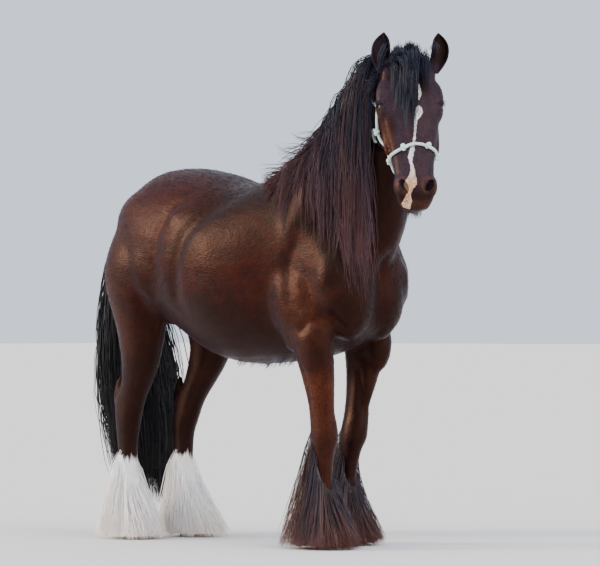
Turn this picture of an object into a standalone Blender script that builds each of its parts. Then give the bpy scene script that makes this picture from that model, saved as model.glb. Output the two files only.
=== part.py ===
"""A life-size still model of a bay gypsy vanner horse in a rope halter, standing with its head turned right.

Units are metres. The horse faces -Y, its left side is +X and up is +Z. While it is modelled, Y is
measured backwards from a line between the fore feet; at the end all of it is moved so that the origin
is at the bottom centre of its box, on the floor.
"""
import math
import random
from collections import namedtuple

import bmesh
import bpy
import numpy as np
from mathutils import Matrix, Vector
from mathutils.bvhtree import BVHTree

# Driving sizes of the animal
GAP = 0.0004
WHEELBASE = 1.03
FORE_SPREAD = 0.125
HIND_SPREAD = 0.132
LEFT_FORE_BACK = 0.07
LEFT_HIND_FORWARD = -0.06
WALK_TOP = 1.10
NECK_BASE = (0.0, -0.060, 1.330)
NECK_LEAN = (-0.05, -0.72, 0.68)
HEAD_LENGTH = 0.58
HEAD_TURN = math.radians(37.0)
HEAD_PITCH = math.radians(67.0)
POLL = Vector((-0.110, -0.445, 1.842))
EYE_RADIUS = 0.0215
EYE_PLACE = (0.103, 0.320, -0.042)
EAR_LENGTH = 0.152
EAR_HALF_WIDTH = 0.034
EAR_WALL = 0.005
HOOF_HEIGHT = 0.055
ROPE_RADIUS = 0.004

# Sizes of the working meshes
BODY_VOXEL = 0.011
BODY_SMOOTHING = 5
TRUNK_SMOOTHING = 26
BODY_TRIANGLES = 5200
HEAD_VOXEL = 0.005
HEAD_SMOOTHING = 9
HEAD_TRIANGLES = 2500
RING_SIDES = 24
ROWS_BETWEEN = 4

BAY = (0.105, 0.032, 0.018)
DARK_BAY = (0.045, 0.018, 0.012)
BLACK = (0.012, 0.010, 0.010)
WHITE = (0.70, 0.64, 0.57)

Row = namedtuple("Row", "z x y half front back")
Band = namedtuple("Band", "y middle half rise drop low full")
Neck = namedtuple("Neck", "crest throat half")
Face = namedtuple("Face", "t top middle bottom half low full")
Muscle = namedtuple("Muscle", "place size lean turn")


def clear_scene():
    """Remove every object."""
    for thing in list(bpy.data.objects):
        bpy.data.objects.remove(thing, do_unlink=True)


def material(name, colour, roughness):
    """One plain finish."""
    finish = bpy.data.materials.new(name)
    finish.use_nodes = True
    shader = finish.node_tree.nodes["Principled BSDF"]
    shader.inputs["Base Color"].default_value = (*colour, 1.0)
    shader.inputs["Roughness"].default_value = roughness
    shader.inputs["Metallic"].default_value = 0.0
    finish.diffuse_color = (*colour, 1.0)
    return finish


def new_object(name, mesh_data):
    """An object from a finished bmesh, its faces turned outwards."""
    bmesh.ops.triangulate(mesh_data, faces=mesh_data.faces[:])
    bmesh.ops.recalc_face_normals(mesh_data, faces=mesh_data.faces[:])
    mesh = bpy.data.meshes.new(name)
    mesh_data.to_mesh(mesh)
    mesh_data.free()
    thing = bpy.data.objects.new(name, mesh)
    bpy.context.scene.collection.objects.link(thing)
    return thing


def smooth_rows(rows, steps):
    """More rows of the same kind, on a smooth curve through those given."""
    values = [np.array(row, dtype=float) for row in rows]
    values = [values[0]] + values + [values[-1]]
    finer = []
    for a, b, c, d in zip(values, values[1:], values[2:], values[3:]):
        for step in range(steps):
            t = step / steps
            bend = 2 * b + (c - a) * t + (2 * a - 5 * b + 4 * c - d) * t * t + (3 * b - a - 3 * c + d) * t ** 3
            finer.append(type(rows[0])(*(0.5 * bend)))
    finer.append(rows[-1])
    return finer


def ring(centre, across, up, half, rise, drop, low=1.0, full=1.0, sides=RING_SIDES):
    """Points round a section: half its width, what is above and below its centre, and how full its corners are."""
    points = []
    for index in range(sides):
        angle = 2 * math.pi * index / sides
        side, top = math.sin(angle), math.cos(angle)
        width = half * math.copysign(abs(side) ** full, side)
        height = (rise if top > 0 else drop) * math.copysign(abs(top) ** full, top)
        if top < 0:
            width *= 1 + (low - 1) * -top
        points.append(centre + across * width + up * height)
    return points


def skin_rings(mesh_data, rings, closed=False):
    """Join rings of points into one closed tube."""
    rows = [[mesh_data.verts.new(point) for point in points] for points in rings]
    pairs = list(zip(rows, rows[1:]))
    if closed:
        pairs.append((rows[-1], rows[0]))
    for first, second in pairs:
        for index in range(len(first)):
            after = (index + 1) % len(first)
            mesh_data.faces.new((first[index], first[after], second[after], second[index]))
    if not closed:
        mesh_data.faces.new(rows[0][::-1])
        mesh_data.faces.new(rows[-1])


def tube(name, rings, closed=False):
    """An object of one closed tube of rings."""
    mesh_data = bmesh.new()
    skin_rings(mesh_data, rings, closed)
    return new_object(name, mesh_data)


def egg(name, place, axes, radii, rounds=2):
    """An ellipsoid with its three radii along three axes."""
    mesh_data = bmesh.new()
    bmesh.ops.create_icosphere(mesh_data, subdivisions=rounds, radius=1.0)
    for vert in mesh_data.verts:
        x, y, z = vert.co
        vert.co = place + axes[0] * (x * radii[0]) + axes[1] * (y * radii[1]) + axes[2] * (z * radii[2])
    return new_object(name, mesh_data)


def block(name, corners):
    """The convex solid of a few corners."""
    mesh_data = bmesh.new()
    for corner in corners:
        mesh_data.verts.new(corner)
    hull = bmesh.ops.convex_hull(mesh_data, input=mesh_data.verts[:])
    unused = {item for item in hull["geom_interior"] + hull["geom_unused"] if isinstance(item, bmesh.types.BMVert)}
    bmesh.ops.delete(mesh_data, geom=list(unused), context="VERTS")
    return new_object(name, mesh_data)


def apply_modifiers(thing):
    """Make the object's evaluated mesh its own."""
    graph = bpy.context.evaluated_depsgraph_get()
    mesh = bpy.data.meshes.new_from_object(thing.evaluated_get(graph))
    thing.modifiers.clear()
    old = thing.data
    thing.data = mesh
    bpy.data.meshes.remove(old)
    return thing


def remove(things):
    """Remove objects and their meshes."""
    for thing in things:
        mesh = thing.data
        bpy.data.objects.remove(thing, do_unlink=True)
        bpy.data.meshes.remove(mesh)


def gather(name, things):
    """Put several closed meshes into one object, still overlapping."""
    mesh_data = bmesh.new()
    for thing in things:
        mesh_data.from_mesh(thing.data)
    remove(things)
    return new_object(name, mesh_data)


def trunk_share(place):
    """How much of the heavy softening a place takes: all of it on the trunk, none on the legs and the head."""
    above_legs = min(1.0, max(0.0, (place.z - 0.62) / 0.28))
    behind_head = min(1.0, max(0.0, (place.y + 0.36) / 0.10))
    before_dock = min(1.0, max(0.0, (1.13 - place.y) / 0.03))
    return above_legs * behind_head * before_dock


def fuse_flesh(name, things, voxel, smoothing, triangles):
    """Fuse overlapping forms into one soft skin with about so many triangles."""
    flesh = gather(name, things)
    remesh = flesh.modifiers.new("fuse", "REMESH")
    remesh.mode = "VOXEL"
    remesh.voxel_size = voxel
    apply_modifiers(flesh)
    trunk = flesh.vertex_groups.new(name="trunk")
    for vert in flesh.data.vertices:
        trunk.add([vert.index], trunk_share(vert.co), "REPLACE")
    for label, count in (("all", smoothing), ("trunk", TRUNK_SMOOTHING)):
        smooth = flesh.modifiers.new(label, "SMOOTH")
        smooth.factor = 0.5
        smooth.iterations = count
        smooth.vertex_group = "" if label == "all" else "trunk"
    apply_modifiers(flesh)
    flesh.vertex_groups.clear()
    thin = flesh.modifiers.new("thin", "DECIMATE")
    flesh.data.calc_loop_triangles()
    thin.ratio = triangles / len(flesh.data.loop_triangles)
    thin.use_collapse_triangulate = True
    return apply_modifiers(flesh)


def keep_largest(thing):
    """Keep only the closed surface with the largest volume."""
    mesh_data = bmesh.new()
    mesh_data.from_mesh(thing.data)
    bmesh.ops.triangulate(mesh_data, faces=mesh_data.faces[:])
    left = set(mesh_data.faces)
    shells = []
    while left:
        queue = [left.pop()]
        shell = []
        while queue:
            face = queue.pop()
            shell.append(face)
            for edge in face.edges:
                for other in edge.link_faces:
                    if other in left:
                        left.remove(other)
                        queue.append(other)
        shells.append(shell)
    shells.sort(key=lambda shell: shell_volume(shell))
    scrap = {vert for shell in shells[:-1] for face in shell for vert in face.verts}
    bmesh.ops.delete(mesh_data, geom=list(scrap), context="VERTS")
    mesh_data.to_mesh(thing.data)
    mesh_data.free()
    return thing


def shell_volume(faces):
    """The volume inside a closed set of triangles, negative where they face inwards."""
    total = 0.0
    for face in faces:
        a, b, c = (vert.co for vert in face.verts)
        total += a.dot(b.cross(c)) / 6
    return total


def combine(thing, others, operation):
    """Apply one Boolean with a collection of closed meshes, which are then removed."""
    group = bpy.data.collections.new("pieces")
    bpy.context.scene.collection.children.link(group)
    for other in others:
        bpy.context.scene.collection.objects.unlink(other)
        group.objects.link(other)
    bool_modifier = thing.modifiers.new("join", "BOOLEAN")
    bool_modifier.operation = operation
    bool_modifier.operand_type = "COLLECTION"
    bool_modifier.collection = group
    bool_modifier.solver = "MANIFOLD"
    apply_modifiers(thing)
    remove(others)
    bpy.data.collections.remove(group)
    return keep_largest(thing)


def copy_of(thing, name):
    """A copy with its own mesh."""
    mesh = thing.data.copy()
    mesh.name = name
    twin = bpy.data.objects.new(name, mesh)
    bpy.context.scene.collection.objects.link(twin)
    return twin


def axes_leaning(lean, turn):
    """Three axes turned about Z by one angle after they lean about X by another, in degrees."""
    turned = Matrix.Rotation(math.radians(turn), 3, "Z") @ Matrix.Rotation(math.radians(lean), 3, "X")
    return [turned.col[0].copy(), turned.col[1].copy(), turned.col[2].copy()]


def head_axes():
    """The head's own axes: to its right, down its face, and out of its face."""
    facing = Vector((-math.sin(HEAD_TURN), -math.cos(HEAD_TURN), 0))
    up = Vector((0, 0, 1))
    down_face = facing * math.cos(HEAD_PITCH) - up * math.sin(HEAD_PITCH)
    out = facing * math.sin(HEAD_PITCH) + up * math.cos(HEAD_PITCH)
    return [down_face.cross(out), down_face, out]


def head_point(right, along, out):
    """A place on the head, from the poll: metres to its right and out of its face, and a share of its length."""
    axes = head_axes()
    return POLL + axes[0] * right + axes[1] * (along * HEAD_LENGTH) + axes[2] * out


def torso_forms():
    """The barrel from breast to buttock."""
    bands = [Band(-0.215, 1.050, 0.100, 0.100, 0.115, 1.0, 1.0),
             Band(-0.190, 1.045, 0.170, 0.165, 0.185, 1.0, 1.0),
             Band(-0.110, 1.055, 0.215, 0.245, 0.270, 0.9, 0.95),
             Band(0.020, 1.080, 0.225, 0.325, 0.345, 0.9, 0.95),
             Band(0.150, 1.090, 0.245, 0.350, 0.380, 0.95, 0.92),
             Band(0.300, 1.080, 0.285, 0.335, 0.380, 1.0, 0.92),
             Band(0.450, 1.070, 0.310, 0.332, 0.375, 1.0, 0.92),
             Band(0.600, 1.090, 0.305, 0.355, 0.365, 1.0, 0.92),
             Band(0.750, 1.120, 0.285, 0.350, 0.315, 1.0, 0.92),
             Band(0.900, 1.140, 0.270, 0.320, 0.270, 1.0, 0.92),
             Band(1.010, 1.140, 0.235, 0.250, 0.230, 1.0, 0.95),
             Band(1.080, 1.130, 0.165, 0.165, 0.170, 1.0, 1.0),
             Band(1.110, 1.120, 0.090, 0.090, 0.095, 1.0, 1.0)]
    rings = [ring(Vector((0, band.y, band.middle)), Vector((1, 0, 0)), Vector((0, 0, 1)),
                  band.half, band.rise, band.drop, band.low, band.full)
             for band in smooth_rows(bands, ROWS_BETWEEN)]
    return [tube("barrel", rings)]


def neck_forms():
    """The neck, bent to the right, from inside the chest to inside the head."""
    rows = [Neck((0, 0.230, 1.430), (0, -0.150, 0.980), 0.195),
            Neck((0, 0.120, 1.520), (0, -0.230, 1.120), 0.165),
            Neck((-0.005, 0.030, 1.605), (-0.010, -0.268, 1.240), 0.140),
            Neck((-0.020, -0.065, 1.690), (-0.030, -0.288, 1.350), 0.122),
            Neck((-0.045, -0.165, 1.760), (-0.055, -0.305, 1.450), 0.108),
            Neck((-0.072, -0.265, 1.808), (-0.078, -0.335, 1.555), 0.097),
            Neck((-0.092, -0.355, 1.826), (-0.100, -0.380, 1.640), 0.088),
            Neck((-0.108, -0.430, 1.815), (-0.125, -0.440, 1.700), 0.075)]
    flat = namedtuple("Flat", "cx cy cz tx ty tz half")
    finer = smooth_rows([flat(*row.crest, *row.throat, row.half) for row in rows], ROWS_BETWEEN)
    middles = [(Vector((r.cx, r.cy, r.cz)) + Vector((r.tx, r.ty, r.tz))) / 2 for r in finer]
    rings = []
    for index, row in enumerate(finer):
        up = Vector((row.cx, row.cy, row.cz)) - middles[index]
        ahead = middles[min(index + 1, len(finer) - 1)] - middles[max(index - 1, 0)]
        across = ahead.cross(up).normalized()
        depth = up.length
        rings.append(ring(middles[index], across, up.normalized(), row.half, depth, depth, 0.85, 1.0))
    return [tube("neck_form", rings)]


def head_rows():
    """The head's sections down its face, as parts of its length and metres from the line of the face."""
    return [Face(-0.10, -0.030, -0.090, -0.170, 0.060, 1.0, 1.0),
            Face(0.00, 0.000, -0.070, -0.200, 0.088, 0.9, 1.0),
            Face(0.12, 0.012, -0.060, -0.235, 0.103, 0.8, 0.95),
            Face(0.24, 0.014, -0.052, -0.262, 0.117, 0.7, 0.90),
            Face(0.34, 0.010, -0.050, -0.268, 0.118, 0.62, 0.85),
            Face(0.45, 0.001, -0.055, -0.246, 0.106, 0.60, 0.85),
            Face(0.56, -0.007, -0.060, -0.208, 0.091, 0.60, 0.85),
            Face(0.68, -0.013, -0.062, -0.172, 0.078, 0.62, 0.85),
            Face(0.79, -0.018, -0.064, -0.150, 0.071, 0.68, 0.90),
            Face(0.88, -0.024, -0.070, -0.145, 0.072, 0.72, 0.95),
            Face(0.95, -0.042, -0.084, -0.138, 0.062, 0.75, 0.95),
            Face(1.00, -0.068, -0.096, -0.126, 0.040, 0.80, 1.0)]


def head_forms():
    """The skull with its brows, cheeks, crests, nostril wings and lips."""
    right, down, out = head_axes()
    rings = []
    for row in smooth_rows(head_rows(), ROWS_BETWEEN):
        centre = head_point(0, row.t, row.middle)
        rings.append(ring(centre, right, out, row.half, row.top - row.middle,
                          row.middle - row.bottom, row.low, row.full))
    forms = [tube("skull", rings)]
    for side in (-1, 1):
        axes = [right, down, out]
        forms.append(egg("brow", head_point(side * 0.092, 0.275, -0.022), axes, (0.042, 0.050, 0.026), 3))
        forms.append(egg("cheek", head_point(side * 0.072, 0.350, -0.150), axes, (0.037, 0.105, 0.100), 3))
        forms.append(egg("crest", head_point(side * 0.084, 0.490, -0.066), axes, (0.018, 0.095, 0.016), 3))
        forms.append(egg("wing", head_point(side * 0.053, 0.860, -0.062), axes, (0.027, 0.046, 0.038), 3))
        forms.append(egg("ear_root", head_point(side * 0.072, 0.085, -0.020), axes, (0.038, 0.050, 0.036), 3))
        forms.append(egg("socket", head_point(side * 0.088, 0.335, -0.046), axes, (0.036, 0.048, 0.034), 3))
    forms.append(egg("upper_lip", head_point(0, 0.960, -0.088), [right, down, out], (0.046, 0.034, 0.034), 3))
    forms.append(egg("lower_lip", head_point(0, 0.935, -0.134), [right, down, out], (0.038, 0.036, 0.018), 3))
    forms.append(egg("chin", head_point(0, 0.870, -0.148), [right, down, out], (0.034, 0.036, 0.026), 3))
    return forms


def fore_rows():
    """The fore leg's sections from the shoulder down to the coronet."""
    return [Row(0.98, 0.160, 0.010, 0.060, 0.105, 0.105),
            Row(0.86, 0.168, 0.000, 0.066, 0.100, 0.110),
            Row(0.76, 0.165, -0.015, 0.064, 0.088, 0.095),
            Row(0.68, 0.158, -0.025, 0.056, 0.078, 0.080),
            Row(0.60, 0.148, -0.030, 0.049, 0.066, 0.066),
            Row(0.52, 0.138, -0.032, 0.044, 0.056, 0.058),
            Row(0.46, 0.130, -0.034, 0.049, 0.060, 0.058),
            Row(0.41, 0.127, -0.034, 0.050, 0.060, 0.060),
            Row(0.36, 0.125, -0.028, 0.041, 0.048, 0.052),
            Row(0.28, 0.124, -0.024, 0.036, 0.042, 0.048),
            Row(0.19, 0.123, -0.024, 0.038, 0.044, 0.050),
            Row(0.145, 0.122, -0.028, 0.045, 0.048, 0.056),
            Row(0.10, 0.121, -0.044, 0.043, 0.044, 0.050),
            Row(0.060, 0.120, -0.055, 0.055, 0.058, 0.054),
            Row(0.030, 0.120, -0.060, 0.055, 0.058, 0.054)]


def hind_rows():
    """The hind leg's sections from the croup down to the coronet."""
    return [Row(1.22, 0.150, 0.920, 0.100, 0.170, 0.130),
            Row(1.10, 0.168, 0.930, 0.112, 0.185, 0.165),
            Row(1.00, 0.170, 0.930, 0.106, 0.172, 0.165),
            Row(0.92, 0.165, 0.930, 0.096, 0.145, 0.145),
            Row(0.84, 0.160, 0.928, 0.086, 0.120, 0.122),
            Row(0.76, 0.154, 0.935, 0.075, 0.100, 0.104),
            Row(0.68, 0.148, 0.950, 0.064, 0.088, 0.090),
            Row(0.61, 0.143, 0.975, 0.054, 0.074, 0.080),
            Row(0.545, 0.140, 1.008, 0.049, 0.068, 0.080),
            Row(0.47, 0.138, 1.024, 0.047, 0.060, 0.064),
            Row(0.39, 0.136, 1.030, 0.040, 0.048, 0.052),
            Row(0.29, 0.134, 1.030, 0.036, 0.042, 0.048),
            Row(0.19, 0.133, 1.026, 0.039, 0.044, 0.052),
            Row(0.145, 0.132, 1.018, 0.045, 0.048, 0.056),
            Row(0.10, 0.132, 1.000, 0.043, 0.044, 0.050),
            Row(0.060, 0.132, 0.990, 0.054, 0.057, 0.053),
            Row(0.030, 0.132, 0.985, 0.054, 0.057, 0.053)]


def leg_shift(z, step):
    """How far the foot's step moves the leg at this height, more at the stifle of a hind leg set forward."""
    slope = step * max(0.0, 1 - z / WALK_TOP)
    bent = step * 0.8 * max(0.0, 1 - abs(z - 0.76) / 0.34) if step < 0 else 0.0
    return slope + bent


def leg_form(name, rows, side, step):
    """One leg: side is -1 for right, step moves its foot back."""
    rings = []
    for row in smooth_rows(rows, ROWS_BETWEEN):
        centre = Vector((side * row.x, row.y + leg_shift(row.z, step), row.z))
        rings.append(ring(centre, Vector((1, 0, 0)), Vector((0, -1, 0)), row.half, row.front, row.back))
    return tube(name, rings)


def body_muscles():
    """The muscles and bones that show, given for one side."""
    return [Muscle((0.125, 0.060, 1.190), (0.105, 0.150, 0.280), 18, 0),
            Muscle((0.140, -0.105, 1.020), (0.095, 0.105, 0.140), 0, 0),
            Muscle((0.172, 0.070, 0.950), (0.078, 0.130, 0.170), -20, 0),
            Muscle((0.080, -0.135, 0.930), (0.095, 0.085, 0.150), 10, 0),
            Muscle((0.168, 0.085, 0.820), (0.046, 0.050, 0.080), 0, 0),
            Muscle((0.162, -0.030, 0.780), (0.056, 0.076, 0.120), 0, 0),
            Muscle((0.170, 0.640, 1.250), (0.110, 0.110, 0.090), 0, 0),
            Muscle((0.125, 0.860, 1.230), (0.130, 0.210, 0.170), 10, 0),
            Muscle((0.165, 0.950, 1.080), (0.105, 0.140, 0.200), 5, 0),
            Muscle((0.190, 0.830, 1.080), (0.095, 0.110, 0.180), -12, 0),
            Muscle((0.160, 0.835, 0.960), (0.080, 0.080, 0.100), 0, 0)]


def body_forms():
    """All overlapping forms of the body, from which one skin is fused."""
    forms = torso_forms() + neck_forms() + head_forms()
    for side, fore_step, hind_step in ((-1, 0.0, 0.0), (1, LEFT_FORE_BACK, LEFT_HIND_FORWARD)):
        forms.append(leg_form("fore", fore_rows(), side, fore_step))
        forms.append(leg_form("hind", hind_rows(), side, hind_step))
        for muscle in body_muscles():
            place = Vector(muscle.place)
            place.x *= side
            axes = axes_leaning(muscle.lean, muscle.turn * side)
            forms.append(egg("muscle", place, axes, muscle.size, 3))
        hock_shift = leg_shift(0.56, hind_step)
        forms.append(egg("hock_point", Vector((side * 0.138, 1.080 + hock_shift, 0.575)),
                         axes_leaning(8, 0), (0.026, 0.028, 0.055)))
    forms.append(egg("withers", Vector((0, 0.200, 1.385)), axes_leaning(-8, 0), (0.060, 0.190, 0.075), 3))
    forms.append(dock_form())
    return forms


def dock_form():
    """The fleshy dock of the tail, which hangs from the croup."""
    spots = [(1.040, 1.330, 0.055), (1.110, 1.300, 0.048), (1.150, 1.220, 0.040), (1.165, 1.120, 0.033),
             (1.170, 1.020, 0.026), (1.170, 0.950, 0.015)]
    rings = [ring(Vector((0, y, z)), Vector((1, 0, 0)), Vector((0, -1, 0)) if z < 1.25 else
                  Vector((0, -0.5, 0.86)), half, half, half, sides=12) for y, z, half in spots]
    return tube("dock", rings)


def grown_copy(thing, name, amount):
    """A copy swollen by a distance along its normals."""
    twin = copy_of(thing, name)
    moved = [vert.co + vert.normal * amount for vert in twin.data.vertices]
    for vert, place in zip(twin.data.vertices, moved):
        vert.co = place
    return twin


def slab_between(low, high, slope_low=None, grow=0.0):
    """A box with its corners moved out by grow; its top may slope up from the inner to the outer side."""
    corners = []
    for x_index in (0, 1):
        for y_index in (0, 1):
            for z_index in (0, 1):
                x = (low[0] - grow) if x_index == 0 else (high[0] + grow)
                y = (low[1] - grow) if y_index == 0 else (high[1] + grow)
                z = (low[2] - grow) if z_index == 0 else (high[2] + grow)
                if z_index == 1 and slope_low is not None:
                    inner = (x_index == 0) == (high[0] > 0)
                    z = (slope_low + grow) if inner else z
                corners.append(Vector((x, y, z)))
    return block("region", corners)


def plane_region(point, normal, reach, grow):
    """A box that fills one side of a plane, out to a reach."""
    normal = normal.normalized()
    side = normal.cross(Vector((0, 0, 1))).normalized()
    other = normal.cross(side)
    corners = []
    for a in (-reach, reach):
        for b in (-reach, reach):
            for depth in (-grow, 2 * reach):
                corners.append(point + side * a + other * b + normal * depth)
    return block("region", corners)


def leg_region(side, fore, grow):
    """Where one leg is parted from the body."""
    low_y, high_y = (-0.30, 0.125) if fore else (0.705, 1.125)
    inner_top, outer_top = (0.700, 0.915) if fore else (0.850, 1.130)
    inner, outer = 0.012, 0.36
    low_x, high_x = (inner, outer) if side > 0 else (-outer, -inner)
    return slab_between((low_x, low_y, -0.10), (high_x, high_y, outer_top), inner_top, grow)


def head_region(grow):
    """Where the head is parted from the neck: before a slant from the poll to the throat, and above the jaw."""
    corners = []
    slant = grow / HEAD_LENGTH
    for across in (-0.2, 0.2):
        for along, out in ((-0.320 - slant, 0.15), (0.440 - slant * 1.5, -0.290 - grow), (1.3, -0.290 - grow),
                           (1.3, 0.15)):
            corners.append(head_point(across, along, out))
    return block("region", corners)


def neck_region(grow):
    """Where the neck is parted from the chest."""
    return plane_region(Vector(NECK_BASE), Vector(NECK_LEAN), 0.60, grow)


def part_flesh(body, head):
    """Part the fused skin into its nodes by thin cuts."""
    nodes = {}
    nodes["head"] = combine(head, [head_region(0.0)], "INTERSECT")
    rest = combine(body, [head_region(GAP)], "DIFFERENCE")
    nodes["neck"] = combine(copy_of(rest, "neck"), [neck_region(0.0)], "INTERSECT")
    rest = combine(rest, [neck_region(GAP)], "DIFFERENCE")
    for side, hand in ((-1, "right"), (1, "left")):
        for fore, end in ((True, "fore"), (False, "hind")):
            name = f"{end}leg_{hand}"
            leg = combine(copy_of(rest, name), [leg_region(side, fore, 0.0)], "INTERSECT")
            rest = combine(rest, [leg_region(side, fore, GAP)], "DIFFERENCE")
            split = 0.375 if fore else 0.470
            high = slab_between((-1, -1, split + GAP), (1, 2, 2))
            low = slab_between((-1, -1, HOOF_HEIGHT), (1, 2, split))
            nodes[name + "_lower"] = combine(copy_of(leg, name), [low], "INTERSECT")
            nodes[name + "_upper"] = combine(leg, [high], "INTERSECT")
    tail_box = slab_between((-0.09, 1.1255, 0.80), (0.09, 1.40, 1.50))
    nodes["tail"] = combine(copy_of(rest, "tail"), [tail_box], "INTERSECT")
    grown = slab_between((-0.09, 1.1255, 0.80), (0.09, 1.40, 1.50), grow=GAP)
    nodes["torso"] = combine(rest, [grown], "DIFFERENCE")
    return nodes


def hoof(name, rows, side, step):
    """One hoof: a slanted wall that spreads to a flat sole on the floor."""
    coronet = rows[-2]
    centre_y = coronet.y + leg_shift(0.0, step)
    spots = [(HOOF_HEIGHT - GAP, 0.0, 0.058, 0.060), (0.030, -0.006, 0.063, 0.066), (0.0, -0.014, 0.068, 0.073)]
    rings = [ring(Vector((side * coronet.x, centre_y + ahead, z)), Vector((1, 0, 0)), Vector((0, -1, 0)),
                  half, long, long * 0.9, 0.85, 0.95, 16) for z, ahead, half, long in spots]
    return tube(name, rings)


def ear(name, side):
    """A pricked ear: a leaf with a deep cup that faces forward."""
    right, down, out = head_axes()
    up = Vector((0, 0, 1))
    facing = Vector((-math.sin(HEAD_TURN), -math.cos(HEAD_TURN), 0))
    facing = (facing + right * side * 0.25).normalized()
    across = up.cross(facing)
    root = head_point(side * 0.092, 0.105, -0.010)
    steps, arc = 8, 6
    rings = []
    for index in range(steps + 1):
        t = index / steps
        half = EAR_HALF_WIDTH * (0.62 + 0.38 * math.sin(min(t / 0.42, 1) * math.pi / 2))
        if t > 0.42:
            half = EAR_HALF_WIDTH * max(0.06, 1 - ((t - 0.42) / 0.58) ** 2.2)
        lean = right * side * (0.012 * math.sin(t * math.pi) - 0.006 * t) + facing * 0.014 * math.sin(t * math.pi)
        centre = root + up * EAR_LENGTH * t + lean
        back = [math.pi * (0.02 + 0.96 * k / arc) for k in range(arc + 1)]
        wall = min(EAR_WALL, half * 0.4)
        outer = [centre + across * half * math.cos(a) - facing * half * 0.85 * math.sin(a) for a in back]
        cup = 0.12 + 0.88 * min(1.0, t / 0.12)
        inner = [centre + across * (half - wall) * math.cos(a)
                 - facing * ((half - wall) * 0.85 * math.sin(a) * cup - wall * 0.3) for a in reversed(back)]
        rings.append(outer + inner)
    return tube(name, rings)


def eye_axes(side):
    """An eye's axes: along its lids, up, and the way it looks."""
    right, down, out = head_axes()
    look = (right * side * 0.93 + out * 0.36).normalized()
    upward = out * 0.35 - down * 0.9
    upward = (upward - look * upward.dot(look)).normalized()
    return [look.cross(upward), upward, look]


def eyeball(name, side):
    """One eye."""
    return egg(name, head_point(side * EYE_PLACE[0], EYE_PLACE[1], EYE_PLACE[2]), eye_axes(side),
               (EYE_RADIUS,) * 3, 2)


def open_eyes(head):
    """Lids over each eye, with an almond opening, and a socket behind it."""
    lids, sockets, almonds = [], [], []
    for side in (-1, 1):
        centre = head_point(side * EYE_PLACE[0], EYE_PLACE[1], EYE_PLACE[2])
        axes = eye_axes(side)
        along, upward, look = axes
        lids.append(egg("lid", centre, axes, (EYE_RADIUS + 0.0040,) * 3, 2))
        sockets.append(egg("hollow", centre, axes, (EYE_RADIUS + GAP,) * 3, 2))
        rings = [ring(centre + look * depth, along, upward, wide, tall, tall * 0.75, sides=12)
                 for depth, wide, tall in ((0.006, 0.0155, 0.0095), (0.05, 0.030, 0.020))]
        almonds.append(tube("almond", rings))
    combine(head, lids, "UNION")
    return combine(head, sockets + almonds, "DIFFERENCE")


def open_nostrils(head):
    """A hollow in each nostril wing."""
    right, down, out = head_axes()
    hollows = []
    for side in (-1, 1):
        slant = (down * 0.86 + right * side * -0.30 + out * -0.41).normalized()
        deep = (right * side + down * 0.10).normalized()
        wide = slant.cross(deep).normalized()
        hollows.append(egg("nostril", head_point(side * 0.077, 0.865, -0.060), [deep, slant, wide],
                           (0.024, 0.024, 0.0115), 2))
    return combine(head, hollows, "DIFFERENCE")


def cut_mouth(head):
    """The line of the mouth, a groove round the lips."""
    right, down, out = head_axes()
    level, half_slot = -0.116, 0.0011
    rings = []
    for index in range(13):
        angle = math.pi * index / 12
        wide, long = 0.050 * math.cos(angle), 0.190 * math.sin(angle) ** 0.7
        inner = head_point(wide * 0.80, 0.800 + long * 0.86, level)
        outer = head_point(wide * 1.75, 0.800 + long * 1.40, level)
        rings.append([inner + out * half_slot, outer + out * half_slot, outer - out * half_slot,
                      inner - out * half_slot])
    return combine(head, [tube("mouth", rings)], "DIFFERENCE")


def surface_tree(things):
    """A tree for finding the nearest point on several meshes."""
    verts, faces = [], []
    for thing in things:
        base = len(verts)
        verts += [vert.co.copy() for vert in thing.data.vertices]
        faces += [[base + index for index in face.vertices] for face in thing.data.polygons]
    return BVHTree.FromPolygons(verts, faces)


def lift_off(tree, point, height):
    """The point moved out until it is this high over the surface."""
    place, normal, _, _ = tree.find_nearest(point)
    over = (point - place).dot(normal)
    return place + normal * height if over < height else point


def rope_path(points, tree, height, count, closed=False):
    """A smooth path through a few points, laid on a surface."""
    knots = [Vector(point) for point in points]
    if closed:
        knots = [knots[-1]] + knots + [knots[0], knots[1]]
    else:
        knots = [knots[0] * 2 - knots[1]] + knots + [knots[-1] * 2 - knots[-2]]
    path = []
    spans = len(knots) - 3
    for index in range(count):
        place = index * spans / (count if closed else count - 1)
        span = min(int(place), spans - 1)
        t = place - span
        a, b, c, d = knots[span:span + 4]
        point = 0.5 * (2 * b + (c - a) * t + (2 * a - 5 * b + 4 * c - d) * t * t + (3 * b - a - 3 * c + d) * t ** 3)
        place_on, normal, _, _ = tree.find_nearest(point)
        path.append(place_on + normal * height)
    return path


def rope(name, path, radius, closed=False, sides=6):
    """A round cord along a path."""
    rings = []
    count = len(path)
    for index, point in enumerate(path):
        before = path[(index - 1) % count] if closed or index > 0 else path[0]
        after = path[(index + 1) % count] if closed or index < count - 1 else path[-1]
        ahead = (after - before).normalized()
        side = ahead.cross(Vector((0.31, 0.42, 0.85))).normalized()
        rings.append(ring(point, side, ahead.cross(side), radius, radius, radius, sides=sides))
    return tube(name, rings, closed)


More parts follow.
